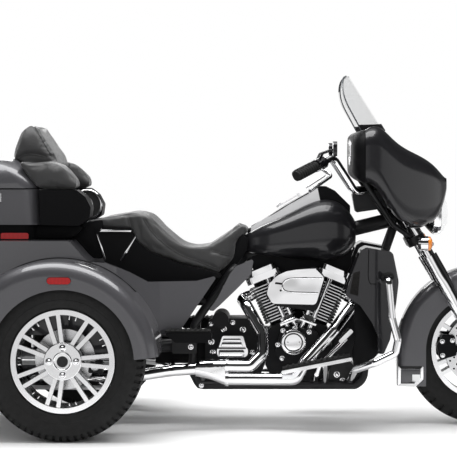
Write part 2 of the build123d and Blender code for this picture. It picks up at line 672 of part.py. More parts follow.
def tour_tub():
    """Open tub of the luggage box."""
    half = TUB_HALF_WIDTH
    outer = hull_upward([(TUB_FLOOR_Z, -1245, -775, half, 66), (TUB_RIM_Z, -1258, -785, half + 12, 72)])
    inner = hull_upward([
        (TUB_FLOOR_Z + WALL + 2, -1237, -797, half - 8, 58), (TUB_RIM_Z + 10, -1251, -793, half + 4, 64),
    ])
    tub = outer - inner
    y, z = LUGGAGE_PIN
    for x in LUGGAGE_HINGES_X:
        tub += along_pin(x, PIN_RADIUS, 60)
        for step in (-24, 24):
            tub += Pos(*at(x + step, y - 5, z - 9)) * Box(12, 22, 14) - outer
            tub += along_pin(x + step, 6, 12)
    return tub


def tour_lid_dome():
    """Outer form of the luggage box lid."""
    base, half = TUB_RIM_Z + LID_GAP, TUB_HALF_WIDTH + 16
    return hull_upward([
        (base, -1262, -787, half, 74), (1040, -1252, -826, half - 10, 78),
        (1076, -1226, -866, half - 38, 80), (1098, -1180, -900, half - 94, 80),
    ])


def tour_lid():
    """Hollow domed lid of the luggage box with its hinge knuckles."""
    base, half = TUB_RIM_Z + LID_GAP, TUB_HALF_WIDTH + 16
    inner = hull_upward([
        (base - 10, -1256, -794, half - 7, 68), (1038, -1244, -834, half - 18, 70),
        (1069, -1218, -874, half - 46, 72), (1089, -1180, -902, half - 96, 78),
    ])
    lid = tour_lid_dome() - inner
    y, z = LUGGAGE_PIN
    for x in LUGGAGE_HINGES_X:
        knuckle = along_pin(x, 7, 34) + Pos(*at(x, y - 7, z + 7)) * Box(34, 14, 8)
        lid += knuckle - along_pin(x, PIN_RADIUS + PIN_CLEARANCE, 40) - inner
    return lid


def backrest():
    """Padded backrest with arm pads, carried on the lid."""
    rows = [
        (-916, 1070, 0), (-906, 1118, 30), (-862, 1226, 40), (-834, 1256, 22), (-806, 1204, 60),
        (-742, 1108, 40), (-722, 1050, 20), (-790, 985, 5),
    ]
    half = SKIRT_HALF_WIDTH
    front_rows = [(-half + 5, 940, 0), (-half, 1260, 90), (half, 1260, 90), (half - 5, 940, 0)]
    pad = side_slab(rows, -half, half) & front_slab(front_rows, -960, -680)
    arm_rows = [
        (-881, 1093, 8), (-784, 979, 6), (-631, 979, 6), (-626, 996, 10), (-684, 1062, 30), (-744, 1079, 20),
        (-824, 1072, 20),
    ]
    arm = side_slab(arm_rows, -TUB_HALF_WIDTH - 12, -half)
    dome = Pos(SEAT_CLEARANCE, 0, SEAT_CLEARANCE) * tour_lid_dome()
    return pad + arm + opposite(arm) - dome


def speaker_pod():
    """Right loudspeaker pod ahead of the luggage box."""
    rows = [
        (-785, 973, 0), (-634, 973, 20), (-598, 945, 20), (-576, 903, 20), (-582, 858, 16), (-626, 829, 16),
        (-778, 833, 0),
    ]
    return side_slab(rows, -TUB_HALF_WIDTH - 17, -SKIRT_HALF_WIDTH - 8)


# Foot boards, guards and lower fairings
def rider_board():
    """Right foot board with its stay to the frame rail."""
    board = side_slab([(189, 236, 6), (470, 292, 6), (468, 306, 6), (186, 250, 6)], -352, -252)
    stay = rod((365, -262, 274), (365, -118, 178), 11)
    return board + stay


def passenger_board():
    """Right passenger board with its stay."""
    rows = [(-283, 406, 6), (-91, 406, 6), (-91, 384, 6), (-115, 366, 8), (-235, 366, 8)]
    board = side_slab(rows, -390, -290)
    stay = rod((-180, -292, 384), (-180, -128, 384), 12)
    return board + stay


def pedal():
    """Right brake pedal."""
    arm = tube([(330, -205, 222), (345, -210, 262), (450, -235, 372)], 9, 20)
    pad = side_slab([(428, 352, 6), (478, 402, 6), (466, 414, 6), (416, 364, 6)], -275, -215)
    shaft = rod((330, -214, 222), (330, -110, 185), 9)
    return arm + pad + shaft


def engine_guard():
    """Right half of the bright guard, from the down tube round to the lower rail."""
    points = [
        (575, -75, 640), (606, -300, 640), (612, -378, 612), (626, -382, 466), (650, -382, 378),
        (640, -380, 326), (560, -372, 286), (483, -300, 251), (470, -128, 190),
    ]
    return tube(points, 15, 18)


def lower_fairing(guard):
    """Right leg shield, hollow behind its front and outer faces."""
    rows = [
        (441, 554, 14), (469, 645, 20), (503, 734, 16), (525, 746, 12), (632, 726, 24), (658, 605, 60),
        (647, 520, 40), (622, 375, 40), (596, 318, 10), (572, 322, 6), (572, 390, 20), (548, 445, 20),
        (500, 515, 20),
    ]
    plan_rows = [(430, -165, 0), (430, -368, 10), (560, -368, 60), (662, -300, 60), (662, -165, 20)]
    solid = side_slab(rows, -368, -165) & plan_slab(plan_rows, 230, 900)
    hollow_rows = [
        (430, 560, 0), (458, 645, 15), (490, 722, 10), (610, 706, 20), (636, 605, 50), (626, 520, 40),
        (600, 400, 30), (560, 470, 20), (500, 535, 10),
    ]
    hollow_plan = [(420, -175, 0), (420, -358, 0), (552, -358, 50), (645, -294, 50), (645, -175, 10)]
    hollow = side_slab(hollow_rows, -358, -175) & plan_slab(hollow_plan, 230, 900)
    return solid - hollow - guard


# Steered front end
def fork_point(z):
    """Centre of the right leg at a drawn height."""
    drawn_x, drawn_z = DRAWN_FRONT_AXLE
    return at(drawn_x - (z - drawn_z) * tan(radians(FORK_ANGLE)), -FORK_HALF_SPACING, z)


def fork_leg():
    """Right leg: bright slider, cover and upper tube, with the fender boss."""
    slider = bar(fork_point(282), fork_point(560), 30)
    cover = bar(fork_point(560), fork_point(700), 34)
    upper = bar(fork_point(700), fork_point(945), 25)
    _, drawn_z = DRAWN_FRONT_AXLE
    boss_x, _, boss_z = fork_point(drawn_z + (FRONT_FENDER_RADIUS - 78) * cos(radians(FORK_ANGLE)))
    boss = bar((boss_x, -FORK_HALF_SPACING + 15, boss_z), (boss_x, -FRONT_FENDER_HALF_WIDTH, boss_z), 14)
    return slider + cover + upper + boss


def triple_clamps():
    """Upper and lower clamps with the stem in the steering head."""
    lean = radians(RAKE)
    body = bar(steering_point(760), steering_point(940), STEM_RADIUS)
    for z, length, thick in ((766, 76, 34), (928, 90, 28)):
        along, up = (cos(lean), 0, sin(lean)), (-sin(lean), 0, cos(lean))
        clamp = RectangleRounded(length, 2 * FORK_HALF_SPACING + 80, 30)
        level = Plane(origin=steering_point(z), x_dir=along, z_dir=up)
        body += level * extrude(clamp, amount=thick / 2, both=True)
    return body


def front_axle():
    """Spindle through both legs."""
    x, z, reach = FRONT_AXLE_X, FRONT_AXLE_Z, FORK_HALF_SPACING + 35
    return bar((x, -reach, z), (x, reach, z), FRONT_SPINDLE_RADIUS)


def front_caliper():
    """Right front caliper behind the leg."""
    side = FRONT_TYRE_WIDTH / 2
    rows = [(838, 270, 12), (826, 330, 14), (850, 376, 12), (900, 372, 10), (908, 290, 10)]
    block = side_slab(rows, -side - 31, -side + 9)
    slot = bar((FRONT_AXLE_X, -side - 11, FRONT_AXLE_Z), (FRONT_AXLE_X, -side + 7, FRONT_AXLE_Z), 156)
    arm_rows = [(900, 330, 0), (985, 345, 0), (1000, 320, 0), (900, 300, 0)]
    return block - slot + side_slab(arm_rows, -side - 27, -side - 17)


def front_fender():
    """Deep fender round the front wheel with a straight tail."""
    outer, sheet = FRONT_FENDER_RADIUS, 4
    inner, half = outer - 118, FRONT_FENDER_HALF_WIDTH
    rows = [
        (-half, inner, 0), (-half, outer, 46), (half, outer, 46), (half, inner, 0),
        (half - sheet, inner, 0), (half - sheet, outer - sheet, 42), (sheet - half, outer - sheet, 42),
        (sheet - half, inner, 0),
    ]
    arch = turned(rows, (FRONT_AXLE_X, 0, FRONT_AXLE_Z), 160, 20)
    corners = [(FRONT_AXLE_X - r, y, FRONT_AXLE_Z) for y, r, _ in rows]
    edge = FilletPolyline(*corners, radius=[c for _, _, c in rows], close=True)
    return arch + extrude(make_face(edge), amount=150, dir=(0, 0, -1))


def outer_fairing():
    """Bat-wing fairing shell, open to the rear and round the headlamp."""
    outer = hull_along_x([
        (520, 412, 1004, 1214, 70), (590, 384, 946, 1216, 86), (670, 318, 838, 1150, 90),
        (760, 224, 818, 1104, 80), (826, 140, 858, 1056, 60), (866, 66, 964, 1018, 20),
    ])
    inner = hull_along_x([
        (512, 404, 1012, 1206, 64), (590, 376, 954, 1207, 80), (664, 312, 848, 1144, 84),
        (750, 220, 828, 1096, 76), (812, 138, 866, 1048, 56), (850, 62, 968, 1012, 16),
    ])
    lamp_hole = rod((640, 0, LAMP_Z), (900, 0, LAMP_Z), LAMP_RADIUS + SEAT_CLEARANCE)
    fork_side = FORK_HALF_SPACING + 50
    fork_rows = [(640, -fork_side, 20), (640, fork_side, 20), (790, fork_side, 20), (790, -fork_side, 20)]
    fork_hole = plan_slab(fork_rows, 790, 880)
    neck_rows = [(480, -270, 0), (480, 270, 0), (700, 270, 40), (700, -270, 40)]
    return outer - inner - lamp_hole - fork_hole - plan_slab(neck_rows, 790, 1014)


def inner_fairing():
    """Dark dash panel closing the back of the fairing."""
    return hull_along_x([
        (469, 330, 1050, 1180, 60), (490, 392, 1016, 1206, 80), (519.5, 408, 1000, 1214, 80),
    ])


def windshield():
    """Curved clear screen leaning back from the fairing's top."""
    radius = 370
    base_x, _, base_z = at(614, 0, 1206)
    top_x, _, top_z = at(467, 0, 1438)
    ring = Pos(base_x - radius, 0, base_z) * (Circle(radius) - Circle(radius - 5))
    front = Pos(base_x - radius / 2, 0, base_z) * Rectangle(radius, 520)
    run = Vector(top_x - base_x, 0, top_z - base_z)
    sheet = extrude(ring & front, amount=run.length, dir=run)
    trim_rows = [(-252, 1200, 0), (-244, 1437, 150), (244, 1437, 150), (252, 1200, 0)]
    return sheet & front_slab(trim_rows, 300, 700)


def headlamp():
    """Lamp bowl with its bright ring, and the lens."""
    centre = (846, 0, LAMP_Z)
    bowl = turned_ahead([
        (776, 0, 0), (776, LAMP_RADIUS - 38, 10), (812, LAMP_RADIUS, 10), (832, LAMP_RADIUS, 4),
        (846, LAMP_RADIUS - 4, 4), (846, LAMP_RADIUS - 10, 0), (812, 60, 0), (790, 30, 0), (790, 0, 0),
    ], centre)
    lens = turned_ahead([
        (846, 0, 0), (846, LAMP_RADIUS - 8, 0), (856, LAMP_RADIUS - 12, 10), (874, 40, 30), (876, 0, 0),
    ], centre)
    return bowl, lens


def light_bar(yokes, legs):
    """Bright bar with a turn signal each side, and the amber lenses."""
    x, y, z = 782, -182, 754
    rail = tube([(772, y, z), (800, -140, 750), (800, 140, 750), (772, -y, z)], 10, 24)
    stub = rod((755, 0, 772), (800, 0, 750), 12)
    housing = turned_ahead([(740, 0, 0), (740, 20, 8), (752, 29, 8), (x, 30, 2), (x, 0, 0)], (x, y, z))
    lens = turned_ahead([(x, 0, 0), (x, 29, 0), (792, 28, 6), (799, 16, 8), (800, 0, 0)], (x, y, z))
    rail = rail + stub + housing + opposite(housing) - yokes - legs - lens - opposite(lens)
    return rail, both_sides(lens)


BAR_DRAWING = [(600, 0, 988), (596, -82, 984), (488, -190, 962), (395, -272, 1105), (250, -455, 1030)]
BAR_POINTS = [at(*point) for point in BAR_DRAWING]


def handlebar():
    """Bent bar from the riser out to both grips."""
    left = [(x, -y, z) for x, y, z in reversed(BAR_POINTS[1:])]
    return bent(left + BAR_POINTS, 14, 40)


def along_grip(distance):
    """Point on the right grip line, measured inward from the bar's end."""
    end = Vector(*BAR_POINTS[-1])
    run = (Vector(*BAR_POINTS[-2]) - end).normalized()
    point = end + run * distance
    return (point.X, point.Y, point.Z)


def grips(handlebar_tube):
    """Rubber grips with their end caps."""
    sleeve = bar(along_grip(-6), along_grip(125), 19) - handlebar_tube
    return both_sides(sleeve)


def hand_control(handlebar_tube):
    """Right switch housing with its lever and mirror."""
    x, y, z = along_grip(150)
    housing = bar(along_grip(127), along_grip(176), 25)
    lever = bent([(x + 8, y + 2, z - 16), (x + 50, y - 20, z - 44), (x - 40, y - 150, z - 104)], 7, 20)
    mirror_centre = (398, -403, 1137)
    stem = bent([(x, y, z + 18), (x + 12, y - 30, z + 44), at(398, -395, 1136)], 5, 12)
    cx, cy, cz = mirror_centre
    head_rows = [
        (cy - 63, cz - 29, 24), (cy + 63, cz - 29, 24), (cy + 63, cz + 29, 24), (cy - 63, cz + 29, 24),
    ]
    return housing + lever + stem + front_slab(head_rows, cx - 8, cx + 8) - handlebar_tube


def riser(handlebar_tube):
    """Dark block that carries the handlebar on the upper clamp."""
    rows = [(492, 876, 10), (478, 950, 16), (496, 984, 14), (618, 984, 10), (668, 934, 4), (628, 896, 4)]
    return side_slab(rows, -58, 58) - handlebar_tube


def fairing_stay(dash):
    """Right dark stay from the lower clamp up to the fairing."""
    return tube([(505, -240, 1031), (640, -150, 830), (725, -125, 772)], 11, 16) - dash


# Build every node
nodes = {}
rear_tyre, rear_rim = rear_wheel()
place = Pos(REAR_AXLE_X, -REAR_WHEEL_Y, REAR_AXLE_Z)
for name, piece in (("tyre", rear_tyre), ("rim", rear_rim)):
    nodes["rear_" + name + "_right"] = place * piece
    nodes["rear_" + name + "_left"] = opposite(place * piece)
front_tyre, front_rim = front_wheel()
place = Pos(FRONT_AXLE_X, 0, FRONT_AXLE_Z)
nodes["front_tyre"] = place * front_tyre
nodes["front_rim"] = place * front_rim

nodes["frame"] = frame()
nodes["rear_axle"] = rear_axle()
nodes["rear_calipers"] = both_sides(rear_caliper() - nodes["rear_axle"])
nodes["swingarm"] = swingarm() - nodes["rear_axle"]
nodes["rear_shocks"] = rear_shocks() - nodes["swingarm"]

nodes["engine_cases"] = engine_cases() - nodes["frame"]
nodes["cylinders"] = pair(cylinder(V_ANGLE / 2), cylinder(-V_ANGLE / 2))
nodes["rocker_covers"] = pair(rocker_cover(V_ANGLE / 2), rocker_cover(-V_ANGLE / 2))
nodes["cam_cover"] = cam_cover()
nodes["air_cleaner_base"], nodes["air_cleaner_cover"] = air_cleaner(rocker_cover(-V_ANGLE / 2))
nodes["transmission_case"], nodes["transmission_cover"] = transmission()
nodes["primary_cover"] = primary_cover()
front_pipe, rear_pipe, muffler_right, muffler_left = exhaust()
nodes["exhaust_headers"] = pair(front_pipe, rear_pipe)
nodes["muffler_right"] = muffler_right
nodes["muffler_left"] = muffler_left

nodes["fuel_tank"] = fuel_tank()
nodes["tank_console"] = console(nodes["fuel_tank"])
nodes["fuel_door"] = fuel_door()
nodes["seat"] = seat()
nodes["seat_skirt"] = seat_skirt() - nodes["frame"]

nodes["trunk_body"] = trunk_body()
nodes["tailgate"] = tailgate()
corner_lamp, wrap_lamp, marker = rear_lamps()
nodes["rear_lamps"] = pair(both_sides(corner_lamp), both_sides(wrap_lamp), both_sides(marker))
nodes["rear_fenders"] = both_sides(rear_fender(marker))
nodes["side_panels"] = pair(both_sides(side_panel()), both_sides(side_cover() - nodes["frame"]))
nodes["rear_bumper"] = rear_bumper()

nodes["tour_base"] = tour_base()
nodes["tour_tub"] = tour_tub()
nodes["tour_lid"] = tour_lid()
nodes["backrest"] = backrest()
nodes["speaker_pods"] = both_sides(speaker_pod() - nodes["tour_tub"])

boards = pair(both_sides(rider_board()), both_sides(passenger_board()))
nodes["foot_boards"] = pair(*[board - nodes["frame"] for board in boards.solids()])
nodes["brake_pedal"] = pedal() - nodes["frame"]
guard = engine_guard() - nodes["frame"]
nodes["engine_guard"] = both_sides(guard)
nodes["lower_fairings"] = both_sides(lower_fairing(guard))

leg = fork_leg()
legs = leg + opposite(leg)
nodes["fork_legs"] = legs + front_axle()
nodes["front_calipers"] = both_sides(front_caliper() - legs)
nodes["front_fender"] = front_fender()
nodes["inner_fairing"] = inner_fairing()
nodes["outer_fairing"] = outer_fairing()
nodes["windshield"] = windshield() - nodes["outer_fairing"] - nodes["inner_fairing"]
nodes["headlamp"], nodes["headlamp_lens"] = headlamp()
nodes["handlebar"] = handlebar()
stay = fairing_stay(nodes["inner_fairing"])
nodes["fork_yokes"] = triple_clamps() + riser(nodes["handlebar"]) + stay + opposite(stay) - legs
nodes["light_bar"], nodes["turn_lenses"] = light_bar(nodes["fork_yokes"], legs)
nodes["grips"] = grips(nodes["handlebar"])
nodes["hand_controls"] = both_sides(hand_control(nodes["handlebar"]))

os.makedirs("parts", exist_ok=True)
for name, shape in nodes.items():
    export_step(shape, f"parts/{name}.step")
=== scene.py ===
import math

import bpy
from mathutils import Matrix, Vector


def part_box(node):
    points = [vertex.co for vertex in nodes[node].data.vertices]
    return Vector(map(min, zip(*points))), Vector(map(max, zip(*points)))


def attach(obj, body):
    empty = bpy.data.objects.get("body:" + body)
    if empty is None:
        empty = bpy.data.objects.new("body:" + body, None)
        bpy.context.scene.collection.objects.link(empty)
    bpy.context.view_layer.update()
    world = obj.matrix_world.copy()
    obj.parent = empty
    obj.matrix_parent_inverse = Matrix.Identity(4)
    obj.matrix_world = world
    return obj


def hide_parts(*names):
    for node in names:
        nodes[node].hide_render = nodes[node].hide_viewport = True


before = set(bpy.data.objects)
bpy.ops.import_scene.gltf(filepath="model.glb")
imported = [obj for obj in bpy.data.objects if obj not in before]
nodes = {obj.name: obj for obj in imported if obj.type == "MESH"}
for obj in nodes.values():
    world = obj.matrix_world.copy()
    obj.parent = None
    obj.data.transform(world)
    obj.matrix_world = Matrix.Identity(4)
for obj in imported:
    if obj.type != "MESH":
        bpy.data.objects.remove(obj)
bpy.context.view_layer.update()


# Frame, swingarm and rear axle
# Welded steel tubes and castings under satin black powder coat, baked on, with the faint
# orange peel that such a coat keeps.
class Wire:
    """One shader socket that takes part in sums, so that masks read as arithmetic."""

    def __init__(self, tree, socket):
        self.tree = tree
        self.socket = socket

    def node(self, kind, settings, sockets, output=0):
        made = self.tree.nodes.new(kind)
        stops = settings.pop("stops", None)
        for name, value in settings.items():
            setattr(made, name, value)
        if stops:
            ramp = made.color_ramp
            while len(ramp.elements) < len(stops):
                ramp.elements.new(1.0)
            for element, (position, grey) in zip(ramp.elements, stops):
                element.position = position
                element.color = (grey, grey, grey, 1)
        for key, value in sockets.items():
            if isinstance(value, Wire):
                self.tree.links.new(value.socket, made.inputs[key])
            else:
                made.inputs[key].default_value = value
        return Wire(self.tree, made.outputs[output])

    def math(self, operation, first, second):
        return self.node("ShaderNodeMath", {"operation": operation}, {0: first, 1: second})

    def __add__(self, other):
        return self.math("ADD", self, other)

    __radd__ = __add__

    def __sub__(self, other):
        return self.math("SUBTRACT", self, other)

    def __rsub__(self, other):
        return self.math("SUBTRACT", other, self)

    def __mul__(self, other):
        return self.math("MULTIPLY", self, other)

    __rmul__ = __mul__

    def noise(self, scale, detail=2.0):
        return self.node("ShaderNodeTexNoise", {}, {"Vector": self, "Scale": scale, "Detail": detail})

    def axis(self, name):
        return self.node("ShaderNodeSeparateXYZ", {}, {0: self}, "XYZ".index(name))

    def between(self, low, high):
        return self.node("ShaderNodeMapRange", {"clamp": True}, {0: self, 1: low, 2: high})

    def mix(self, low, high):
        return self.node("ShaderNodeMix", {"data_type": "RGBA"}, {0: self, 6: (*low, 1), 7: (*high, 1)}, 2)

    def feed(self, shader, name):
        self.tree.links.new(self.socket, shader.inputs[name])

    def bump(self, shader, depth):
        made = self.node("ShaderNodeBump", {}, {"Height": self, "Distance": depth})
        made.feed(shader, "Normal")


def new_finish(name, colour, roughness, metallic=0.0, coat=0.0, shine=0.5):
    """A material with its shader and its Object coordinates."""
    material = bpy.data.materials.new(name)
    material.use_nodes = True
    tree = material.node_tree
    shader = tree.nodes["Principled BSDF"]
    shader.inputs["Base Color"].default_value = (*colour, 1)
    shader.inputs["Roughness"].default_value = roughness
    shader.inputs["Metallic"].default_value = metallic
    shader.inputs["Coat Weight"].default_value = coat
    shader.inputs["Specular IOR Level"].default_value = shine
    shader.inputs["Coat Roughness"].default_value = 0.04
    place = Wire(tree, tree.nodes.new("ShaderNodeTexCoord").outputs["Object"])
    return material, shader, place


def dress(material, *names):
    """Gives whole nodes of the frame one finish."""
    for name in names:
        nodes[name].data.materials.clear()
        nodes[name].data.materials.append(material)


powder_coat, shader, place = new_finish("powder_coat", (0.012, 0.012, 0.013), 0.34, shine=0.22)
place.noise(420).bump(shader, 0.0004)
coat_depth = place.noise(9, 5).between(0.3, 0.75)
coat_depth.mix((0.009, 0.009, 0.01), (0.018, 0.018, 0.019)).feed(shader, "Base Color")
(place.noise(35, 4) * 0.16 + 0.26).feed(shader, "Roughness")
dress(powder_coat, "frame", "rear_axle", "rear_calipers", "swingarm", "rear_shocks", "fork_yokes")


# Engine cases and cylinders
# Cast aluminium under wrinkle black, with the outer edges of the cooling fins cut bright, and a
# plated block at the foot of each pair of push-rod tubes.
wrinkle_black, shader, place = new_finish("wrinkle_black", (0.009, 0.009, 0.01), 0.42, shine=0.14)
wrinkle = place.node("ShaderNodeTexVoronoi", {"feature": "SMOOTH_F1"}, {"Vector": place, "Scale": 620.0})
wrinkle.bump(shader, 0.0005)
(wrinkle * 0.25 + 0.34).feed(shader, "Roughness")
dress(wrinkle_black, "engine_cases", "transmission_case", "air_cleaner_base")

machined, shader, place = new_finish("machined_alloy", (0.68, 0.68, 0.69), 0.24, 1.0)
(place.noise(60, 2) * 0.06 + 0.22).feed(shader, "Roughness")

chrome, shader, place = new_finish("chrome", (0.86, 0.86, 0.87), 0.05, 1.0)
(place.noise(14, 5).between(0.35, 0.8) * 0.06 + 0.03).feed(shader, "Roughness")
place.noise(6, 2).mix((0.83, 0.83, 0.845), (0.89, 0.89, 0.895)).feed(shader, "Base Color")
place.noise(7, 1).bump(shader, 0.006)


def dress_faces(name, materials, choose):
    """Gives each face of a node the finish that its place and direction ask for."""
    mesh = nodes[name].data
    mesh.materials.clear()
    for material in materials:
        mesh.materials.append(material)
    for face in mesh.polygons:
        face.material_index = int(choose(face.center, face.normal))


CRANK = Vector((0.258, 0.0, 0.265))
CYLINDER_LEAN = math.radians(22.5)


def cylinder_axes(lean):
    """Directions along and up a cylinder that leans back by an angle."""
    return Vector((math.cos(lean), 0, math.sin(lean))), Vector((-math.sin(lean), 0, math.cos(lean)))


def on_fin_edge(centre, normal):
    """Outer edges of the fins are bright, the rest is black."""
    along, up = cylinder_axes(CYLINDER_LEAN if centre.x < CRANK.x else -CYLINDER_LEAN)
    reach = (centre - CRANK) - up * (centre - CRANK).dot(up)
    return abs(normal.dot(up)) < 0.3 and reach.length > 0.062


dress_faces("cylinders", (wrinkle_black, machined), on_fin_edge)


def settle(name, body, material, both=False, smooth=40):
    """Puts the place of the piece being worked on in its mesh, dresses it and hands it to its body."""
    piece = bpy.context.active_object
    if piece.mode == "EDIT":
        bpy.ops.object.mode_set(mode="OBJECT")
    bpy.ops.object.transform_apply(location=True, rotation=True, scale=True)
    if both:
        bpy.ops.object.modifier_add(type="MIRROR")
        piece.modifiers[-1].use_axis = (False, True, False)
        piece.modifiers[-1].use_mirror_merge = False
        bpy.ops.object.modifier_apply(modifier=piece.modifiers[-1].name)
    bpy.ops.object.shade_smooth_by_angle(angle=math.radians(smooth))
    piece.name = name
    piece.data.name = name
    piece.data.materials.clear()
    piece.data.materials.append(material)
    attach(piece, body)
    return piece


def pick_faces(test):
    """Leaves the piece being worked on in edit mode with the faces that pass a test selected."""
    if bpy.context.active_object.mode == "EDIT":
        bpy.ops.object.mode_set(mode="OBJECT")
    bpy.context.tool_settings.mesh_select_mode = (False, False, True)
    mesh = bpy.context.active_object.data
    mesh.vertices.foreach_set("select", [False] * len(mesh.vertices))
    mesh.edges.foreach_set("select", [False] * len(mesh.edges))
    mesh.polygons.foreach_set("select", [bool(test(f.center, f.normal)) for f in mesh.polygons])
    bpy.ops.object.mode_set(mode="EDIT")


def push(way):
    """Extrudes what is selected along a way."""
    bpy.ops.mesh.extrude_region_move(TRANSFORM_OT_translate={"value": way})


def soften(edge):
    """Breaks the selected edges with a small round."""
    bpy.ops.mesh.bevel(offset=edge, segments=2, affect="EDGES")


def keep_place():
    """Puts the place, turn and size of what is selected into its mesh."""
    bpy.ops.object.transform_apply(location=True, rotation=True, scale=True)


def start_block(centre, size):
    """A new block in edit mode, all of it selected."""
    bpy.ops.object.select_all(action="DESELECT")
    bpy.ops.mesh.primitive_cube_add(size=1, location=centre)
    bpy.context.active_object.scale = size
    bpy.ops.object.transform_apply(location=False, rotation=False, scale=True)
    bpy.ops.object.mode_set(mode="EDIT")
    bpy.ops.mesh.select_all(action="SELECT")


def rounded_block(centre, size, edge):
    """A block with broken edges, its place in its mesh."""
    start_block(centre, size)
    soften(edge)
    bpy.ops.object.mode_set(mode="OBJECT")
    keep_place()
    return bpy.context.active_object


def work_on(piece):
    """Selects one piece alone and makes it the one being worked on."""
    bpy.ops.object.select_all(action="DESELECT")
    piece.select_set(True)
    bpy.context.view_layer.objects.active = piece


def join(pieces):
    """Joins pieces into the first of them, which is then the one being worked on."""
    bpy.ops.object.select_all(action="DESELECT")
    for piece in pieces:
        piece.select_set(True)
    bpy.context.view_layer.objects.active = pieces[0]
    bpy.ops.object.join()


lifters = []
for lean, offset, level in ((CYLINDER_LEAN, 0.024, 0.170), (-CYLINDER_LEAN, -0.028, 0.168)):
    along, up = cylinder_axes(lean)
    start_block(CRANK + along * offset + up * level + Vector((0, -0.112, 0)), (0.074, 0.052, 0.014))
    pick_faces(lambda centre, normal: normal.z > 0.5)
    bpy.ops.mesh.inset(thickness=0.010)
    push((0, 0, 0.016))
    bpy.ops.mesh.select_all(action="SELECT")
    soften(0.0025)
    bpy.ops.object.mode_set(mode="OBJECT")
    bpy.context.active_object.rotation_euler = (0, -lean, 0)
    keep_place()
    lifters.append(bpy.context.active_object)
join(lifters)
settle("lifter_blocks", "chassis", chrome)


# Engine covers
# Chrome-plated die castings held by capped screws: rocker boxes, the round timing cover on its black
# gear case, and the air cleaner's cover with a bare panel pressed into it.
dress(
    chrome, "rocker_covers", "air_cleaner_cover", "transmission_cover", "primary_cover",
    "exhaust_headers", "muffler_right", "muffler_left", "brake_pedal", "engine_guard",
    "fork_legs", "headlamp", "handlebar", "light_bar",
)
TIMING_CENTRE = Vector((0.236, 0, 0.349))
TUBES_FROM_Z = 0.415


def on_timing_cover(centre, normal):
    """The round cover and the push-rod tubes are plated, the gear case is black."""
    out = math.hypot(centre.x - TIMING_CENTRE.x, centre.z - TIMING_CENTRE.z)
    return (out < 0.0545 and centre.y < -0.1505) or centre.z > TUBES_FROM_Z


dress_faces("cam_cover", (wrinkle_black, chrome), on_timing_cover)


def draw_outline(points):
    """A single vertex pulled along an outline, left in edit mode with all of it selected."""
    bpy.ops.object.select_all(action="DESELECT")
    bpy.ops.mesh.primitive_plane_add(size=0.01)
    bpy.context.tool_settings.mesh_select_mode = (True, False, False)
    bpy.ops.object.mode_set(mode="EDIT")
    bpy.ops.mesh.select_all(action="SELECT")
    bpy.ops.mesh.merge(type="CENTER")
    bpy.ops.transform.translate(value=points[0])
    for here, there in zip(points, points[1:]):
        push(Vector(there) - Vector(here))
    bpy.ops.mesh.select_all(action="SELECT")


def lathe(rows, steps=32):
    """Turns rows of radius and height about Z and closes what meets."""
    draw_outline([(radius, 0, height) for radius, height in rows])
    bpy.ops.mesh.spin(steps=steps, angle=math.tau, center=(0, 0, 0), axis=(0, 0, 1))
    bpy.ops.mesh.select_all(action="SELECT")
    bpy.ops.mesh.remove_doubles(threshold=0.00004)
    bpy.ops.mesh.normals_make_consistent(inside=False)
    bpy.ops.object.mode_set(mode="OBJECT")
    return bpy.context.active_object


def aim(place, direction):
    """Where a turned piece stands: its foot at a place, its Z along a direction."""
    turn = Vector(direction).to_track_quat("Z", "Y").to_matrix().to_4x4()
    return Matrix.Translation(Vector(place)) @ turn


def stand(place, direction):
    """Stands the piece being worked on at a place, its Z along a direction."""
    bpy.context.active_object.matrix_world = aim(place, direction)
    return bpy.context.active_object


def copies(placings):
    """Repeats the piece being worked on at each placing and joins them into one."""
    first = bpy.context.active_object
    made = [first]
    for _ in placings[1:]:
        work_on(first)
        bpy.ops.object.duplicate()
        made.append(bpy.context.active_object)
    for piece, placing in zip(made, placings):
        piece.matrix_world = placing
    bpy.ops.object.select_all(action="DESELECT")
    for piece in made:
        piece.select_set(True)
    bpy.context.view_layer.objects.active = first
    keep_place()
    join(made)


def cap_screw(size):
    """Plain domed screw cap of a given radius on its washer."""
    rows = ((0, 0), (1.3, 0), (1.3, 0.22), (1.0, 0.26), (0.95, 0.7), (0.7, 0.95), (0.35, 1.05), (0, 1.08))
    return lathe([(radius * size, height * size) for radius, height in rows], 16)


TO_THE_RIGHT = (0, -1, 0)
CASE_SCREWS = (
    # x, y of the face it seats on, z, radius
    (-0.014, -0.095, 0.424, 0.0075), (-0.104, -0.095, 0.418, 0.007), (-0.051, -0.095, 0.397, 0.0095),
    (0.028, -0.095, 0.395, 0.0095), (-0.102, -0.095, 0.344, 0.0095), (-0.096, -0.095, 0.302, 0.0085),
    (0.068, -0.095, 0.300, 0.0085), (-0.184, -0.160, 0.328, 0.0085), (-0.141, -0.147, 0.168, 0.0075),
    (0.193, -0.150, 0.396, 0.0075), (0.242, -0.150, 0.406, 0.0075), (0.300, -0.150, 0.390, 0.0075),
    (0.172, -0.150, 0.338, 0.0075), (0.190, -0.150, 0.282, 0.0075), (0.318, -0.150, 0.290, 0.0075),
    (0.336, -0.150, 0.330, 0.0075), (0.212, -0.1765, 0.349, 0.0036), (0.260, -0.1765, 0.349, 0.0036),
    (0.326, -0.094, 0.173, 0.0095), (0.342, -0.094, 0.163, 0.0085), (0.411, -0.094, 0.166, 0.0095),
    (0.439, -0.094, 0.184, 0.0095), (0.415, -0.094, 0.210, 0.0095),
)
TIMING_FACE_Y = -0.1715
timing_rows = (
    (0, 0.0055), (0.0300, 0.0055), (0.0335, 0.0050), (0.0345, 0.0010), (0.0375, 0.0010), (0.0390, 0.0048),
    (0.0455, 0.0044), (0.0500, 0.0028), (0.0520, 0.0), (0.0520, -0.006), (0, -0.006),
)
lathe(timing_rows, 64)
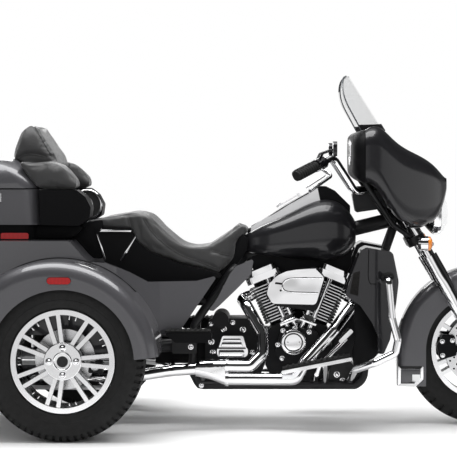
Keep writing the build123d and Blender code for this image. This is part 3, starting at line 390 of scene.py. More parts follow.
stand((TIMING_CENTRE.x, TIMING_FACE_Y, TIMING_CENTRE.z), TO_THE_RIGHT)
settle("timing_cap", "chassis", chrome)
# A thin black ring laid in the groove of the timing cap is painted shade for the groove.
band_rows = ((0.0346, 0.0005), (0.0374, 0.0005), (0.0374, 0.0022), (0.0346, 0.0022), (0.0346, 0.0005))
lathe(band_rows, 64)
groove_shade_ring = stand((TIMING_CENTRE.x, TIMING_FACE_Y, TIMING_CENTRE.z), TO_THE_RIGHT)
cap_screw(1.0)
copies([aim((x, y, z), TO_THE_RIGHT) @ Matrix.Scale(size, 4) for x, y, z, size in CASE_SCREWS])
settle("case_screws", "chassis", chrome)

black_gloss, shader, place = new_finish("black_gloss", (0.006, 0.006, 0.007), 0.14, shine=0.4)
(place.noise(25, 3) * 0.1 + 0.1).feed(shader, "Roughness")


def plate(points, y, thick, edge):
    """Flat plate with an outline of x and z, standing out to the right from y, its edges broken."""
    draw_outline([(x, y, z) for x, z in points])
    bpy.ops.mesh.edge_face_add()
    push((0, -thick, 0))
    bpy.ops.mesh.select_all(action="SELECT")
    bpy.ops.mesh.normals_make_consistent(inside=False)
    if edge:
        soften(edge)
    bpy.ops.object.mode_set(mode="OBJECT")
    return bpy.context.active_object


vent = plate(((0.160, 0.592), (0.163, 0.600), (0.196, 0.596), (0.193, 0.588)), -0.2445, 0.003, 0.0006)
cap_screw(0.0035)
# The vent plate and its screw are joined with the black ring of painted shade in the timing cap's groove.
join([vent, stand((0.184, -0.2455, 0.566), TO_THE_RIGHT), groove_shade_ring])
settle("air_cleaner_vent_and_groove_shade", "chassis", black_gloss)


def tube_along(points, radius, closed=False):
    """Round bead along points, as a mesh."""
    bpy.ops.object.select_all(action="DESELECT")
    bpy.ops.curve.primitive_nurbs_path_add()
    path = bpy.context.active_object
    path.data.splines.clear()
    line = path.data.splines.new("NURBS")
    line.points.add(len(points) - 1)
    for point, spot in zip(line.points, points):
        point.co = (*spot, 1)
    line.order_u = 3
    line.use_endpoint_u = not closed
    line.use_cyclic_u = closed
    path.data.bevel_depth = radius
    path.data.bevel_resolution = 2
    path.data.resolution_u = 6
    path.data.use_fill_caps = True
    bpy.ops.object.convert(target="MESH")
    return bpy.context.active_object


COVER_FACE_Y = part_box("air_cleaner_cover")[0].y
panel_edge = (
    (0.352, 0.616), (0.300, 0.617), (0.222, 0.616), (0.199, 0.606), (0.189, 0.588), (0.194, 0.568),
    (0.214, 0.559), (0.280, 0.557), (0.336, 0.556),
)
panel_bead = tube_along([(x, COVER_FACE_Y + 0.0005, z) for x, z in panel_edge], 0.0032)
brow_outline = (
    (0.136, 0.575), (0.141, 0.589), (0.1545, 0.612), (0.176, 0.629), (0.2065, 0.6427), (0.245, 0.6496),
    (0.2915, 0.6531), (0.328, 0.6543), (0.320, 0.640), (0.200, 0.600),
)
join([panel_bead, plate(brow_outline, COVER_FACE_Y + 0.011, 0.0055, 0)])
settle("air_cleaner_beads", "chassis", chrome)

SIDE_COVER_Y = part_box("transmission_cover")[0].y
LEDGES = (
    # rear and front x of the low edge, its z, rear and front x of the high edge, its z, proud, rounding
    (-0.070, 0.036, 0.289, -0.070, 0.036, 0.319, 0.008, 0.007),
    (-0.062, 0.030, 0.331, -0.056, 0.024, 0.349, 0.005, 0.004),
    (-0.054, 0.022, 0.352, -0.051, 0.019, 0.363, 0.004, 0.003),
)
ledges = []
for low_rear, low_front, low_z, high_rear, high_front, high_z, proud, edge in LEDGES:
    outline = ((low_rear, low_z), (high_rear, high_z), (high_front, high_z), (low_front, low_z))
    ledges.append(plate(outline, SIDE_COVER_Y + 0.001, proud, edge))
join(ledges)
settle("side_cover_ledges", "chassis", chrome)
joint_outline = ((-0.074, 0.3215), (-0.072, 0.3285), (0.040, 0.3285), (0.042, 0.3215))
plate(joint_outline, SIDE_COVER_Y + 0.001, 0.0022, 0.0006)
settle("side_cover_joint", "chassis", black_gloss)
induction_outline = (
    (0.060, 0.742), (0.478, 0.742), (0.478, 0.660), (0.440, 0.600), (0.360, 0.520), (0.258, 0.430),
    (0.150, 0.520), (0.085, 0.600), (0.060, 0.660),
)
plate(induction_outline, 0.028, 0.056, 0.004)
settle("induction_cover", "chassis", wrinkle_black)
cooler_outline = (
    (0.395, 0.285), (0.400, 0.400), (0.452, 0.470), (0.478, 0.520), (0.530, 0.520), (0.536, 0.285),
)
plate(cooler_outline, 0.120, 0.240, 0.006)
settle("cooler_shroud", "chassis", wrinkle_black)


# Exhaust
# Chromed pipes and silencers, clamped together with steel bands; the outlets are lined with thin sooted
# steel, each liner closed at its inner end by a dark disc that is painted shade for the pipe beyond.
def band(radius, width, proud):
    """Clamp band round a pipe that runs along Z."""
    rows = (
        (radius, -width / 2), (radius + proud, -width / 2), (radius + proud * 1.2, 0),
        (radius + proud, width / 2), (radius, width / 2), (radius, -width / 2),
    )
    return lathe(rows, 40)


CLAMPS = (
    # x, y, z, pipe radius
    (-0.034, -0.240, 0.206, 0.0252), (-0.034, -0.240, 0.258, 0.0242),
    (-0.478, -0.380, 0.226, 0.0262), (-0.478, 0.380, 0.226, 0.0262),
)
clamps = []
for x, y, z, radius in CLAMPS:
    band(radius, 0.014, 0.0035)
    clamps.append(stand((x, y, z), (1, 0, 0)))
join(clamps)
settle("exhaust_clamps", "chassis", chrome)

# This near-black finish is real soot in the exhaust liners, and painted shade on the discs that close the
# pipe ends, in the shield ducts and on the brake disc drillings.
soot_and_hole_shade, shader, place = new_finish("soot_and_hole_shade", (0.01, 0.01, 0.01), 0.9, shine=0.05)
place.noise(120, 4).mix((0.006, 0.006, 0.006), (0.02, 0.019, 0.018)).feed(shader, "Base Color")
lathe(((0, 0.001), (0.0335, 0.001), (0.0335, 0.030), (0.0325, 0.030), (0.0325, 0.003), (0, 0.003)), 40)
stand((-1.180, -0.380, 0.226), (-1, 0, 0))
settle("outlet_liners", "chassis", soot_and_hole_shade, both=True)


# Rear wheels
# Cast alloy with a black barrel and the lip, spoke faces and hub cut bright; each is held by four
# domed nuts, with a plain cap over the spindle, and carries a road tyre with a notched shoulder.
bright_alloy, shader, place = new_finish("bright_alloy", (0.84, 0.84, 0.85), 0.16, 1.0)
(place.noise(50, 2) * 0.06 + 0.12).feed(shader, "Roughness")
barrel_black, shader, place = new_finish("barrel_black", (0.007, 0.007, 0.008), 0.28, shine=0.2)
(place.noise(90, 3) * 0.14 + 0.2).feed(shader, "Roughness")
tyre_rubber, shader, place = new_finish("tyre_rubber", (0.012, 0.012, 0.012), 0.62, shine=0.14)
place.noise(60, 6).mix((0.009, 0.009, 0.009), (0.02, 0.02, 0.02)).feed(shader, "Base Color")
(place.noise(18, 5) * 0.2 + 0.5).feed(shader, "Roughness")
place.noise(900, 2).bump(shader, 0.0003)
REAR_AXLE = Vector((-0.657, 0, 0.315))
REAR_WHEEL_Y = 0.56
SPOKE_PAIRS = 7
NUT_CIRCLE = 0.053


def on_rear_rim(centre, normal):
    """0 bright, 1 black, 2 the brake disc."""
    out = math.hypot(centre.x - REAR_AXLE.x, centre.z - REAR_AXLE.z)
    side = abs(centre.y) - REAR_WHEEL_Y
    facing = normal.y * math.copysign(1, centre.y)
    if out > 0.176:
        return 0 if side > 0.076 else 1
    if side < 0.0 and out > 0.055:
        return 2
    return 0 if facing > 0.4 or side > 0.083 else 1


dress_faces("rear_rim_right", (bright_alloy, barrel_black, machined), on_rear_rim)
dress_faces("rear_rim_left", (bright_alloy, barrel_black, machined), on_rear_rim)


def tyre(half_rows, sectors, is_notch):
    """Tyre about Z from half a section of reach and radius, with the notched faces let in."""
    whole = [(radius, -reach) for reach, radius in half_rows]
    whole += [(radius, reach) for reach, radius in reversed(half_rows[:-1])]
    lathe(whole + whole[:1], sectors)
    pick_faces(is_notch)
    bpy.ops.mesh.inset(thickness=0.0012)
    bpy.ops.mesh.extrude_region_shrink_fatten(TRANSFORM_OT_shrink_fatten={"value": -0.0085})
    bpy.ops.object.mode_set(mode="OBJECT")
    return bpy.context.active_object


REAR_TYRE_HALF = (
    # reach from the middle, radius
    (0.079, 0.1905), (0.0795, 0.2045), (0.0880, 0.2080), (0.0900, 0.2120), (0.0955, 0.2260),
    (0.0990, 0.2370), (0.1000, 0.2375), (0.1000, 0.2395), (0.0995, 0.2400), (0.1015, 0.2540),
    (0.1020, 0.2640), (0.1010, 0.2740), (0.0985, 0.2870), (0.0925, 0.3000), (0.0840, 0.3095),
    (0.0680, 0.3135), (0.0500, 0.3145), (0.0490, 0.3090), (0.0430, 0.3090), (0.0420, 0.3147),
    (0.0150, 0.3150), (0.0140, 0.3095), (0.0080, 0.3095), (0.0070, 0.3150), (0.0, 0.3150),
)
REAR_SECTORS = 132


def on_rear_notch(centre, normal):
    """Every other block of the shoulder."""
    out = math.hypot(centre.x, centre.y)
    sector = int((math.atan2(centre.y, centre.x) + math.tau) / math.tau * REAR_SECTORS)
    return sector % 2 == 0 and 0.289 < out < 0.3135 and 0.058 < abs(centre.z) < 0.097


for side, label in ((-1, "right"), (1, "left")):
    body = "rear_wheel_" + label
    hub = REAR_AXLE + Vector((0, side * REAR_WHEEL_Y, 0))
    outward = Vector((0, side, 0))
    tyre(REAR_TYRE_HALF, REAR_SECTORS, on_rear_notch)
    stand(hub, outward)
    piece = settle("rear_road_tyre_" + label, body, tyre_rubber, smooth=30)
    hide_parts("rear_tyre_" + label)

    nut_rows = (
        (0, 0), (0.0135, 0), (0.0135, 0.003), (0.0105, 0.004), (0.0105, 0.011), (0.008, 0.0155),
        (0.004, 0.0175), (0, 0.018),
    )
    lathe(nut_rows, 24)
    nut_turns = (0.0, 1.5708, 3.1416, 4.7124)
    nut_places = [Vector((math.cos(turn), 0, math.sin(turn))) * NUT_CIRCLE for turn in nut_turns]
    copies([aim(hub + spot + outward * 0.0835, outward) for spot in nut_places])
    nuts = bpy.context.active_object
    cap_rows = (
        (0, 0.0), (0.0375, 0.0), (0.0375, 0.0095), (0.034, 0.0115), (0.031, 0.0100), (0.030, 0.0088),
        (0, 0.0092),
    )
    lathe(cap_rows, 48)
    join([nuts, stand(hub + outward * 0.0838, outward)])
    settle("wheel_nuts_" + label, body, chrome)

    disc_rows = ((0, 0.0), (0.022, 0.0), (0.0215, 0.0012), (0, 0.0015))
    lathe(disc_rows, 32)
    stand(hub + outward * 0.0928, outward)
    settle("cap_centre_" + label, body, black_gloss)

    # Small bright alloy pads on the black barrel, two in each gap between spoke pairs, are painted
    # highlights.
    rounded_block((0.172, 0, 0.068), (0.018, 0.0045, 0.010), 0.001)
    ticks = []
    for pair in range(SPOKE_PAIRS):
        for step in (-0.075, 0.075):
            turn = (pair + 0.5) * math.tau / SPOKE_PAIRS + step
            ticks.append(aim(hub, outward) @ Matrix.Rotation(turn, 4, "Z"))
    copies(ticks)
    settle("barrel_glint_pads_" + label, body, bright_alloy)

piston_rows = (
    (0, 0), (0.0185, 0), (0.0185, 0.004), (0.0165, 0.0055), (0.0150, 0.0045), (0.006, 0.0045),
    (0.005, 0.003), (0, 0.003),
)
lathe(piston_rows, 32)
stand((-0.539, -0.5655, 0.285), TO_THE_RIGHT)
settle("piston_caps", "chassis", machined, both=True)


# Boot and rear fenders
# Moulded panels under dark grey metallic base coat and clear lacquer, with a rubber bead where the
# fenders meet the boot and a plain catch on the boot lid.
grey_paint, shader, place = new_finish("grey_paint", (0.078, 0.077, 0.083), 0.36, 0.3, 0.8, 0.2)
flake = place.noise(1400, 1).between(0.35, 0.75)
flake.mix((0.064, 0.063, 0.069), (0.098, 0.097, 0.104)).feed(shader, "Base Color")
(place.noise(4, 3) * 0.08 + 0.30).feed(shader, "Roughness")
dress(
    grey_paint, "trunk_body", "tailgate", "rear_fenders", "side_panels", "rear_bumper",
    "tour_tub", "tour_lid", "front_fender",
)
black_plastic, shader, place = new_finish("black_plastic", (0.005, 0.005, 0.0055), 0.5, shine=0.07)
place.noise(1500, 2).bump(shader, 0.0003)
(place.noise(20, 3) * 0.2 + 0.36).feed(shader, "Roughness")
dress(black_plastic, "seat_skirt", "tour_base", "inner_fairing", "front_calipers", "speaker_pods")


BOOT_SIDE_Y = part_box("trunk_body")[0].y
FENDER_CENTRE = (-0.690, 0.300)
FENDER_RADIUS = 0.405
bead_points = []
for step in range(13):
    turn = math.radians(42 + step * 9.5)
    bead_points.append((
        FENDER_CENTRE[0] + FENDER_RADIUS * math.cos(turn), BOOT_SIDE_Y - 0.002,
        FENDER_CENTRE[1] + FENDER_RADIUS * math.sin(turn) + 0.001,
    ))
tube_along(bead_points, 0.0035)
settle("fender_beads", "chassis", black_plastic, both=True)

lid_low, lid_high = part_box("tailgate")
CATCH_Z = lid_high.z - 0.055
start_block((lid_low.x - 0.004, 0, CATCH_Z), (0.010, 0.110, 0.030))
pick_faces(lambda centre, normal: normal.x < -0.5)
bpy.ops.mesh.inset(thickness=0.006)
push((0.006, 0, 0))
bpy.ops.mesh.select_all(action="SELECT")
soften(0.0016)
settle("boot_catch", "boot_lid", black_plastic)


# Rear lamps
# Clear red mouldings with fine upright flutes inside; the side markers sit in thin black frames.
red_lens, shader, place = new_finish("red_lens", (0.30, 0.004, 0.005), 0.12, shine=0.35)
flutes = place.node(
    "ShaderNodeTexWave", {"bands_direction": "X"}, {"Vector": place, "Scale": 60.0, "Distortion": 0.0},
)
flutes.mix((0.20, 0.003, 0.004), (0.42, 0.006, 0.007)).feed(shader, "Base Color")
dress(red_lens, "rear_lamps")
MARKER_CENTRE = (-0.6655, 0.630)
MARKER_HALF = (0.0325, 0.0135)
frame_points = []
for step in range(24):
    turn = step * math.tau / 24
    shift = math.copysign(MARKER_HALF[0], math.cos(turn))
    frame_points.append((
        MARKER_CENTRE[0] + shift + MARKER_HALF[1] * math.cos(turn), -0.6955,
        MARKER_CENTRE[1] + MARKER_HALF[1] * math.sin(turn),
    ))
tube_along(frame_points, 0.0014, closed=True)
settle("marker_frames", "chassis", black_gloss, both=True)


# Luggage box
# Painted tub and lid with a black seal between them, a satin draw latch on the right, and a black
# moulded nose under the tub's front.
SEAL_Z = 0.9775
BOX_HALF = 0.322
seal_outline = [
    (-1.190, -BOX_HALF), (-0.860, -BOX_HALF), (-0.815, -0.290), (-0.806, 0.0), (-0.815, 0.290),
    (-0.860, BOX_HALF), (-1.190, BOX_HALF), (-1.238, 0.290), (-1.246, 0.0), (-1.238, -0.290),
]
tube_along([(x, y, SEAL_Z) for x, y in seal_outline], 0.0024, closed=True)
settle("lid_seal", "chassis", black_plastic)

latch = plate(((-0.967, 0.925), (-0.967, 0.962), (-0.935, 0.962), (-0.935, 0.925)), -0.322, 0.012, 0.003)
pick_faces(lambda centre, normal: normal.y < -0.7)
bpy.ops.mesh.inset(thickness=0.005)
push((0, 0.004, 0))
bpy.ops.object.mode_set(mode="OBJECT")
lever = plate(((-0.960, 0.936), (-0.960, 0.958), (-0.942, 0.958), (-0.942, 0.936)), -0.328, 0.010, 0.003)
join([latch, lever])
settle("box_latch", "chassis", machined)
nose_outline = (
    (-0.830, 0.773), (-0.830, 0.836), (-0.640, 0.836), (-0.610, 0.822), (-0.640, 0.786), (-0.680, 0.773),
)
plate(nose_outline, 0.262, 0.524, 0.010)
settle("box_base_nose", "chassis", black_plastic)


# Seat
# Foam on a moulded base under black vinyl, sewn from a top panel, side panels and a nose piece, the
# seams sunk in the foam and finished with a thin welt.
leather, shader, place = new_finish("leather", (0.016, 0.016, 0.0165), 0.45, shine=0.5)
shader.inputs["Sheen Weight"].default_value = 0.2
grain = place.node("ShaderNodeTexVoronoi", {"feature": "DISTANCE_TO_EDGE"}, {"Vector": place, "Scale": 320.0})
grain.between(0.0, 0.25).bump(shader, 0.0004)
(place.noise(12, 4) * 0.16 + 0.30).feed(shader, "Roughness")
place.noise(7, 3).mix((0.022, 0.022, 0.0225), (0.034, 0.034, 0.0345)).feed(shader, "Base Color")
dress(leather, "seat", "backrest")
CLOTH_FRAMES = 20


def swollen(node, name, voxel, rounding, shrink, cap):
    """Padded copy of a plain solid: remeshed, rounded, drawn in and blown up as cloth."""
    pad = bpy.data.objects.new(name, nodes[node].data.copy())
    bpy.context.scene.collection.objects.link(pad)
    work_on(pad)
    bpy.ops.object.mode_set(mode="EDIT")
    bpy.ops.mesh.select_all(action="SELECT")
    bpy.ops.mesh.remove_doubles(threshold=0.0001)
    bpy.ops.object.mode_set(mode="OBJECT")
    pad.data.remesh_voxel_size = voxel
    bpy.ops.object.voxel_remesh()
    bpy.ops.object.mode_set(mode="EDIT")
    bpy.ops.mesh.select_all(action="SELECT")
    bpy.ops.mesh.vertices_smooth(factor=0.5, repeat=rounding)
    bpy.ops.transform.shrink_fatten(value=-shrink)
    bpy.ops.object.mode_set(mode="OBJECT")
    start = [vertex.co.copy() for vertex in pad.data.vertices]
    bpy.ops.object.modifier_add(type="CLOTH")
    cloth = pad.modifiers[-1]
    cloth.settings.use_pressure = True
    cloth.settings.uniform_pressure_force = 4
    cloth.settings.effector_weights.gravity = 0
    cloth.point_cache.frame_end = CLOTH_FRAMES
    for number in range(1, CLOTH_FRAMES + 1):
        bpy.context.scene.frame_set(number)
    blown = pad.evaluated_get(bpy.context.evaluated_depsgraph_get()).data
    ends = [vertex.co.copy() for vertex in blown.vertices]
    bpy.ops.object.modifier_remove(modifier=cloth.name)
    bpy.context.scene.frame_set(1)
    for vertex, begin, end in zip(pad.data.vertices, start, ends):
        move = end - begin
        vertex.co = begin + move * min(1.0, cap / max(move.length, 1e-9))
    pad.data.update()
    return pad


def rounded_route(route, rounds=3):
    """The same route with its corners cut, as a sewn line runs."""
    for _ in range(rounds):
        cut = [route[0]]
        for here, there in zip(route, route[1:]):
            cut += [here.lerp(there, 0.25), here.lerp(there, 0.75)]
        route = cut + [route[-1]]
    return route


def sew(pad, routes, depth, width):
    """Sinks the foam along routes of x, z on both sides, and returns the lines on the cover."""
    bpy.context.view_layer.update()
    lines = []
    for route in routes:
        smooth_route = rounded_route([Vector((x, 0, z)) for x, z in route])
        for side in (-1, 1):
            line = []
            for spot in smooth_route:
                hit, on_cover, _, _ = pad.ray_cast((spot.x, side, spot.z), (0, -side, 0))
                if hit:
                    line.append(on_cover.copy())
            lines.append(line)
    for vertex in pad.data.vertices:
        near = min((vertex.co - spot).length for line in lines for spot in line)
        if near < 3 * width:
            vertex.co -= vertex.normal * depth * math.exp(-((near / width) ** 2))
    pad.data.update()
    return [[spot + Vector((0, math.copysign(depth * 0.55, -spot.y), 0)) for spot in line] for line in lines]


def finish_pad(pad, node, body, welts):
    """One subdivision, the finish, the welts and what the pad stands for."""
    work_on(pad)
    bpy.ops.object.modifier_add(type="SUBSURF")
    pad.modifiers[-1].levels = 1
    pad.modifiers[-1].render_levels = 1
    bpy.ops.object.modifier_apply(modifier=pad.modifiers[-1].name)
    settle(pad.name, body, leather, smooth=80)
    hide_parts(node)
    join([tube_along(line, 0.0013) for line in welts])
    settle(pad.name + "_welts", body, leather)


SEAT_SEAMS = (
    # side seam from the passenger's edge to the nose, seam of the nose piece, edge of the pillion pad
    ((-0.378, 0.862), (-0.342, 0.800), (-0.292, 0.752), (-0.221, 0.703), (-0.138, 0.676), (-0.066, 0.644)),
    ((-0.097, 0.722), (-0.050, 0.708), (-0.020, 0.700)),
    ((-0.440, 0.862), (-0.432, 0.838), (-0.428, 0.822)),
)
seat_pad = swollen("seat", "seat_cushion", 0.0065, 8, 0.001, 0.009)
finish_pad(seat_pad, "seat", "chassis", sew(seat_pad, SEAT_SEAMS, 0.005, 0.008))

TRIM_BARS = (
    # four corners of each bar in x and z
    ((-0.526, 0.684), (-0.534, 0.684), (-0.566, 0.792), (-0.558, 0.792)),
    ((-0.556, 0.800), (-0.548, 0.809), (-0.422, 0.809), (-0.426, 0.800)),
    ((-0.404, 0.781), (-0.411, 0.785), (-0.471, 0.684), (-0.464, 0.680)),
)
tail_outline = (
    (-0.540, 0.690), (-0.540, 0.853), (-0.590, 0.846), (-0.650, 0.836), (-0.706, 0.832),
    (-0.706, 0.776), (-0.672, 0.740), (-0.610, 0.692),
)
plate(tail_outline, 0.197, 0.394, 0.010)
settle("seat_tail", "chassis", black_plastic)
cover_outline = (
    (0.022, 0.790), (-0.018, 0.720), (-0.070, 0.632), (-0.130, 0.548), (-0.166, 0.494),
    (-0.112, 0.494), (0.045, 0.722), (0.050, 0.772),
)
plate(cover_outline, -0.096, 0.006, 0.002)
settle("frame_covers", "chassis", black_plastic, both=True)
plate(((-0.335, 0.252), (-0.335, 0.352), (-0.105, 0.352), (-0.105, 0.252)), -0.050, 0.020, 0.004)
settle("swingarm_shields", "chassis", black_plastic, both=True)
join([plate(corners, -0.1998, 0.005, 0.0018) for corners in TRIM_BARS])
settle("skirt_trim", "chassis", chrome, both=True)


# Backrest
# Moulded foam wings and a centre pad under the same vinyl, sewn like the seat and carried on the
# luggage lid.
BACKREST_SEAMS = (
    ((-0.826, 1.236), (-0.800, 1.196), (-0.778, 1.158), (-0.750, 1.112)),
    ((-0.886, 1.100), (-0.858, 1.116), (-0.822, 1.118), (-0.775, 1.106)),
)
back_pad = swollen("backrest", "backrest_cushion", 0.0065, 6, 0.0, 0.009)
finish_pad(back_pad, "backrest", "luggage_lid", sew(back_pad, BACKREST_SEAMS, 0.004, 0.008))


# Loudspeakers
# Round drivers behind black woven mesh, each held by a plated ring that is set in the inner face of
# its pod.
mesh_cloth, shader, place = new_finish("speaker_mesh", (0.014, 0.014, 0.014), 0.6, shine=0.15)
holes = place.node("ShaderNodeTexVoronoi", {}, {"Vector": place, "Scale": 520.0, "Randomness": 0.0})
holes.between(0.2, 0.5).bump(shader, 0.0008)
holes.between(0.25, 0.45).mix((0.004, 0.004, 0.004), (0.03, 0.03, 0.03)).feed(shader, "Base Color")
SPEAKER = Vector((-0.646, -0.2085, 0.902))
INWARD = Vector((0, 1, 0))
lathe(((0, 0.002), (0.058, 0.0005), (0.058, -0.004), (0, -0.004)), 48)
stand(SPEAKER, INWARD)
settle("speaker_grilles", "chassis", mesh_cloth, both=True)
ring_rows = (
    (0.057, -0.004), (0.066, -0.004), (0.0665, 0.001), (0.064, 0.0035), (0.060, 0.004), (0.057, 0.001),
    (0.057, -0.004),
)
lathe(ring_rows, 48)
stand(SPEAKER, INWARD)
settle("speaker_rings", "chassis", chrome, both=True)


# Tank and console
# Pressed steel tank in the same grey as the boot; it, the fairing and the lower fairings wear a darker copy
# of that paint as painted shade. A silver lacquered console ends in a black gauge block.
shaded_grey_paint, shader, place = new_finish("painted_shade_grey_paint", (0.024, 0.0235, 0.026), 0.34, 0.3, 0.6, 0.15)
flake = place.noise(1400, 1).between(0.35, 0.75)
flake.mix((0.013, 0.0128, 0.0145), (0.022, 0.0217, 0.024)).feed(shader, "Base Color")
(place.noise(4, 3) * 0.08 + 0.28).feed(shader, "Roughness")
dress(shaded_grey_paint, "fuel_tank", "outer_fairing", "lower_fairings")
silver_paint, shader, place = new_finish("silver_paint", (0.72, 0.72, 0.73), 0.3, 0.35, 0.6)
place.noise(1200, 1).mix((0.68, 0.68, 0.69), (0.78, 0.78, 0.79)).feed(shader, "Base Color")
GAUGE_FROM_X = 0.342
dress_faces("tank_console", (silver_paint, black_plastic), lambda centre, normal: centre.x > GAUGE_FROM_X)
dress(silver_paint, "fuel_door")
lathe(((0, 0), (0.009, 0), (0.009, 0.003), (0.0075, 0.0042), (0.003, 0.0042), (0.002, 0.003), (0, 0.003)), 24)
flap_up = Vector((-0.49388, 0, 0.86951))
flap_along = Vector((0.86951, 0, 0.49388))
FLAP_ORIGIN = Vector((0.212, 0, 0.915))
stand(FLAP_ORIGIN - flap_along * 0.034 + flap_up * 0.0108, flap_up)
settle("flap_lock", "filler_flap", chrome)
edge_points = (
    (0.062, -0.031, 0.8165), (0.150, -0.047, 0.868), (0.222, -0.0585, 0.915), (0.300, -0.0585, 0.958),
)
tube_along(edge_points, 0.0022)
settle("console_edges", "chassis", black_plastic, both=True)
tube_along([(0.045, -0.022, 0.795), (0.120, -0.028, 0.822), (0.205, -0.034, 0.858)], 0.011)
settle("console_bed", "chassis", black_plastic, both=True)


# Foot boards and pedal
# Plated trays for the rider and black ones for the passenger, each with a ribbed rubber pad; the
# brake pedal has a small pad of its own.
rubber, shader, place = new_finish("rubber", (0.010, 0.010, 0.010), 0.7, shine=0.15)
place.noise(200, 4).mix((0.007, 0.007, 0.007), (0.016, 0.016, 0.016)).feed(shader, "Base Color")
place.noise(1100, 2).bump(shader, 0.0003)
dress_faces("foot_boards", (chrome, black_plastic), lambda centre, normal: centre.x < 0)
BOARDS = (
    # name, rear x, rear z, front x, front z, outer y, inner y, ribs
    ("rider_pads", 0.192, 0.2522, 0.462, 0.3060, -0.348, -0.256, 11),
    ("passenger_pads", -0.277, 0.4062, -0.097, 0.4062, -0.386, -0.294, 8),
)
for name, rear_x, rear_z, front_x, front_z, outer_y, inner_y, ribs in BOARDS:
    slope = math.atan2(front_z - rear_z, front_x - rear_x)
    length = math.hypot(front_x - rear_x, front_z - rear_z)
    centre = Vector(((rear_x + front_x) / 2, (outer_y + inner_y) / 2, (rear_z + front_z) / 2))
    slab = rounded_block((0, 0, 0.004), (length, inner_y - outer_y, 0.008), 0.003)
    rounded_block((0, 0, 0.0085), (0.010, (inner_y - outer_y) * 0.84, 0.007), 0.0025)
    pitch = length / (ribs + 1)
    copies([Matrix.Translation(((rib + 1) * pitch - length / 2, 0, 0)) for rib in range(ribs)])
    join([slab, bpy.context.active_object])
    slab.matrix_world = Matrix.Translation(centre) @ Matrix.Rotation(-slope, 4, "Y")
    settle(name, "chassis", rubber, both=True)

start_block((0, 0, 0.004), (0.060, 0.054, 0.008))
pick_faces(lambda centre, normal: normal.z > 0.5)
bpy.ops.mesh.subdivide(number_cuts=4)
pick_faces(lambda centre, normal: normal.z > 0.5 and round(centre.x / 0.012) % 2 == 0)
bpy.ops.mesh.inset(thickness=0.0012)
push((0, 0, 0.003))
bpy.ops.object.mode_set(mode="OBJECT")
bpy.context.active_object.matrix_world = (
    Matrix.Translation((0.441, -0.245, 0.389)) @ Matrix.Rotation(-math.radians(45), 4, "Y")
)
settle("pedal_pad", "chassis", rubber)


# Lower fairings and guard
# Painted leg shields with a lidded pocket: its joint line shows as a thin black gap, and a dark plate in the
# inner edge is painted shade for the opening of a duct.
SHIELD_Y = -0.368
POCKET_GAPS = (
    # x and z along the upright gap, then along the one below it
    ((0.534, 0.738), (0.533, 0.680), (0.531, 0.612), (0.542, 0.601)),
    ((0.542, 0.601), (0.552, 0.600), (0.566, 0.600)),
)
join([tube_along([(x, SHIELD_Y, z) for x, z in gap], 0.0016) for gap in POCKET_GAPS])
settle("pocket_gaps", "chassis", black_plastic, both=True)
# The dark plate is painted shade for the duct's opening.
plate(((0.458, 0.562), (0.474, 0.644), (0.500, 0.652), (0.492, 0.552)), -0.3675, 0.0015, 0.0006)
settle("shield_ducts", "chassis", soot_and_hole_shade, both=True)
lining_outline = (
    (0.480, 0.560), (0.530, 0.476), (0.566, 0.410), (0.588, 0.355), (0.586, 0.322), (0.558, 0.292),
    (0.523, 0.277), (0.478, 0.262), (0.470, 0.315), (0.484, 0.384), (0.480, 0.470),
)
plate(lining_outline, -0.262, 0.012, 0.004)
settle("shield_linings", "chassis", black_plastic, both=True)
ring_rows = (
    (0.0155, -0.006), (0.024, -0.006), (0.025, 0.0), (0.0225, 0.004), (0.0175, 0.004), (0.0155, 0.0),
    (0.0155, -0.006),
)
lathe(ring_rows, 32)
stand((0.611, -0.360, 0.627), (0.05, -0.75, -0.66))
settle("guard_grommets", "chassis", rubber, both=True)


# Front wheel
# The same casting as behind, narrower, with a drilled brake disc on each side and a tyre with a
# round shoulder.
FRONT_AXLE = Vector((1.013, 0, 0.310))
FRONT_SECTORS = 120


def on_front_rim(centre, normal):
    """0 bright, 1 black, 2 the brake discs."""
    out = math.hypot(centre.x - FRONT_AXLE.x, centre.z - FRONT_AXLE.z)
    if out > 0.186:
        return 0 if abs(centre.y) > 0.045 else 1
    if abs(centre.y) > 0.0625 and out > 0.045:
        return 2
    return 0 if abs(normal.y) > 0.4 or out < 0.065 else 1


dress_faces("front_rim", (bright_alloy, barrel_black, machined), on_front_rim)
FRONT_TYRE_HALF = (
    # reach from the middle, radius
    (0.046, 0.1975), (0.0465, 0.2090), (0.0525, 0.2125), (0.0540, 0.2165), (0.0600, 0.2310),
    (0.0642, 0.2480), (0.0650, 0.2580), (0.0630, 0.2740), (0.0570, 0.2895), (0.0470, 0.3000),
    (0.0300, 0.3070), (0.0140, 0.3095), (0.0, 0.3100),
)


def on_front_notch(centre, normal):
    """Every third block of the shoulder."""
    out = math.hypot(centre.x, centre.y)
    sector = int((math.atan2(centre.y, centre.x) + math.tau) / math.tau * FRONT_SECTORS)
    return sector % 3 == 0 and 0.276 < out < 0.3065 and abs(centre.z) > 0.03


tyre(FRONT_TYRE_HALF, FRONT_SECTORS, on_front_notch)
stand(FRONT_AXLE, TO_THE_RIGHT)
piece = settle("front_road_tyre", "front_wheel", tyre_rubber, smooth=30)
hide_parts("front_tyre")

# The drilled holes of the brake discs are small dark discs laid on the disc faces: painted shade for the
# holes.
lathe(((0, 0), (0.0042, 0), (0.0042, 0.0006), (0, 0.0006)), 10)
holes = []
for turn in range(24):
    for radius in (0.118, 0.138):
        angle = turn * math.tau / 24 + (0.07 if radius > 0.13 else 0)
        spot = FRONT_AXLE + Vector((math.cos(angle) * radius, -0.0699, math.sin(angle) * radius))
        holes.append(aim(spot, TO_THE_RIGHT))
copies(holes)
settle("disc_drillings", "front_wheel", soot_and_hole_shade, both=True)


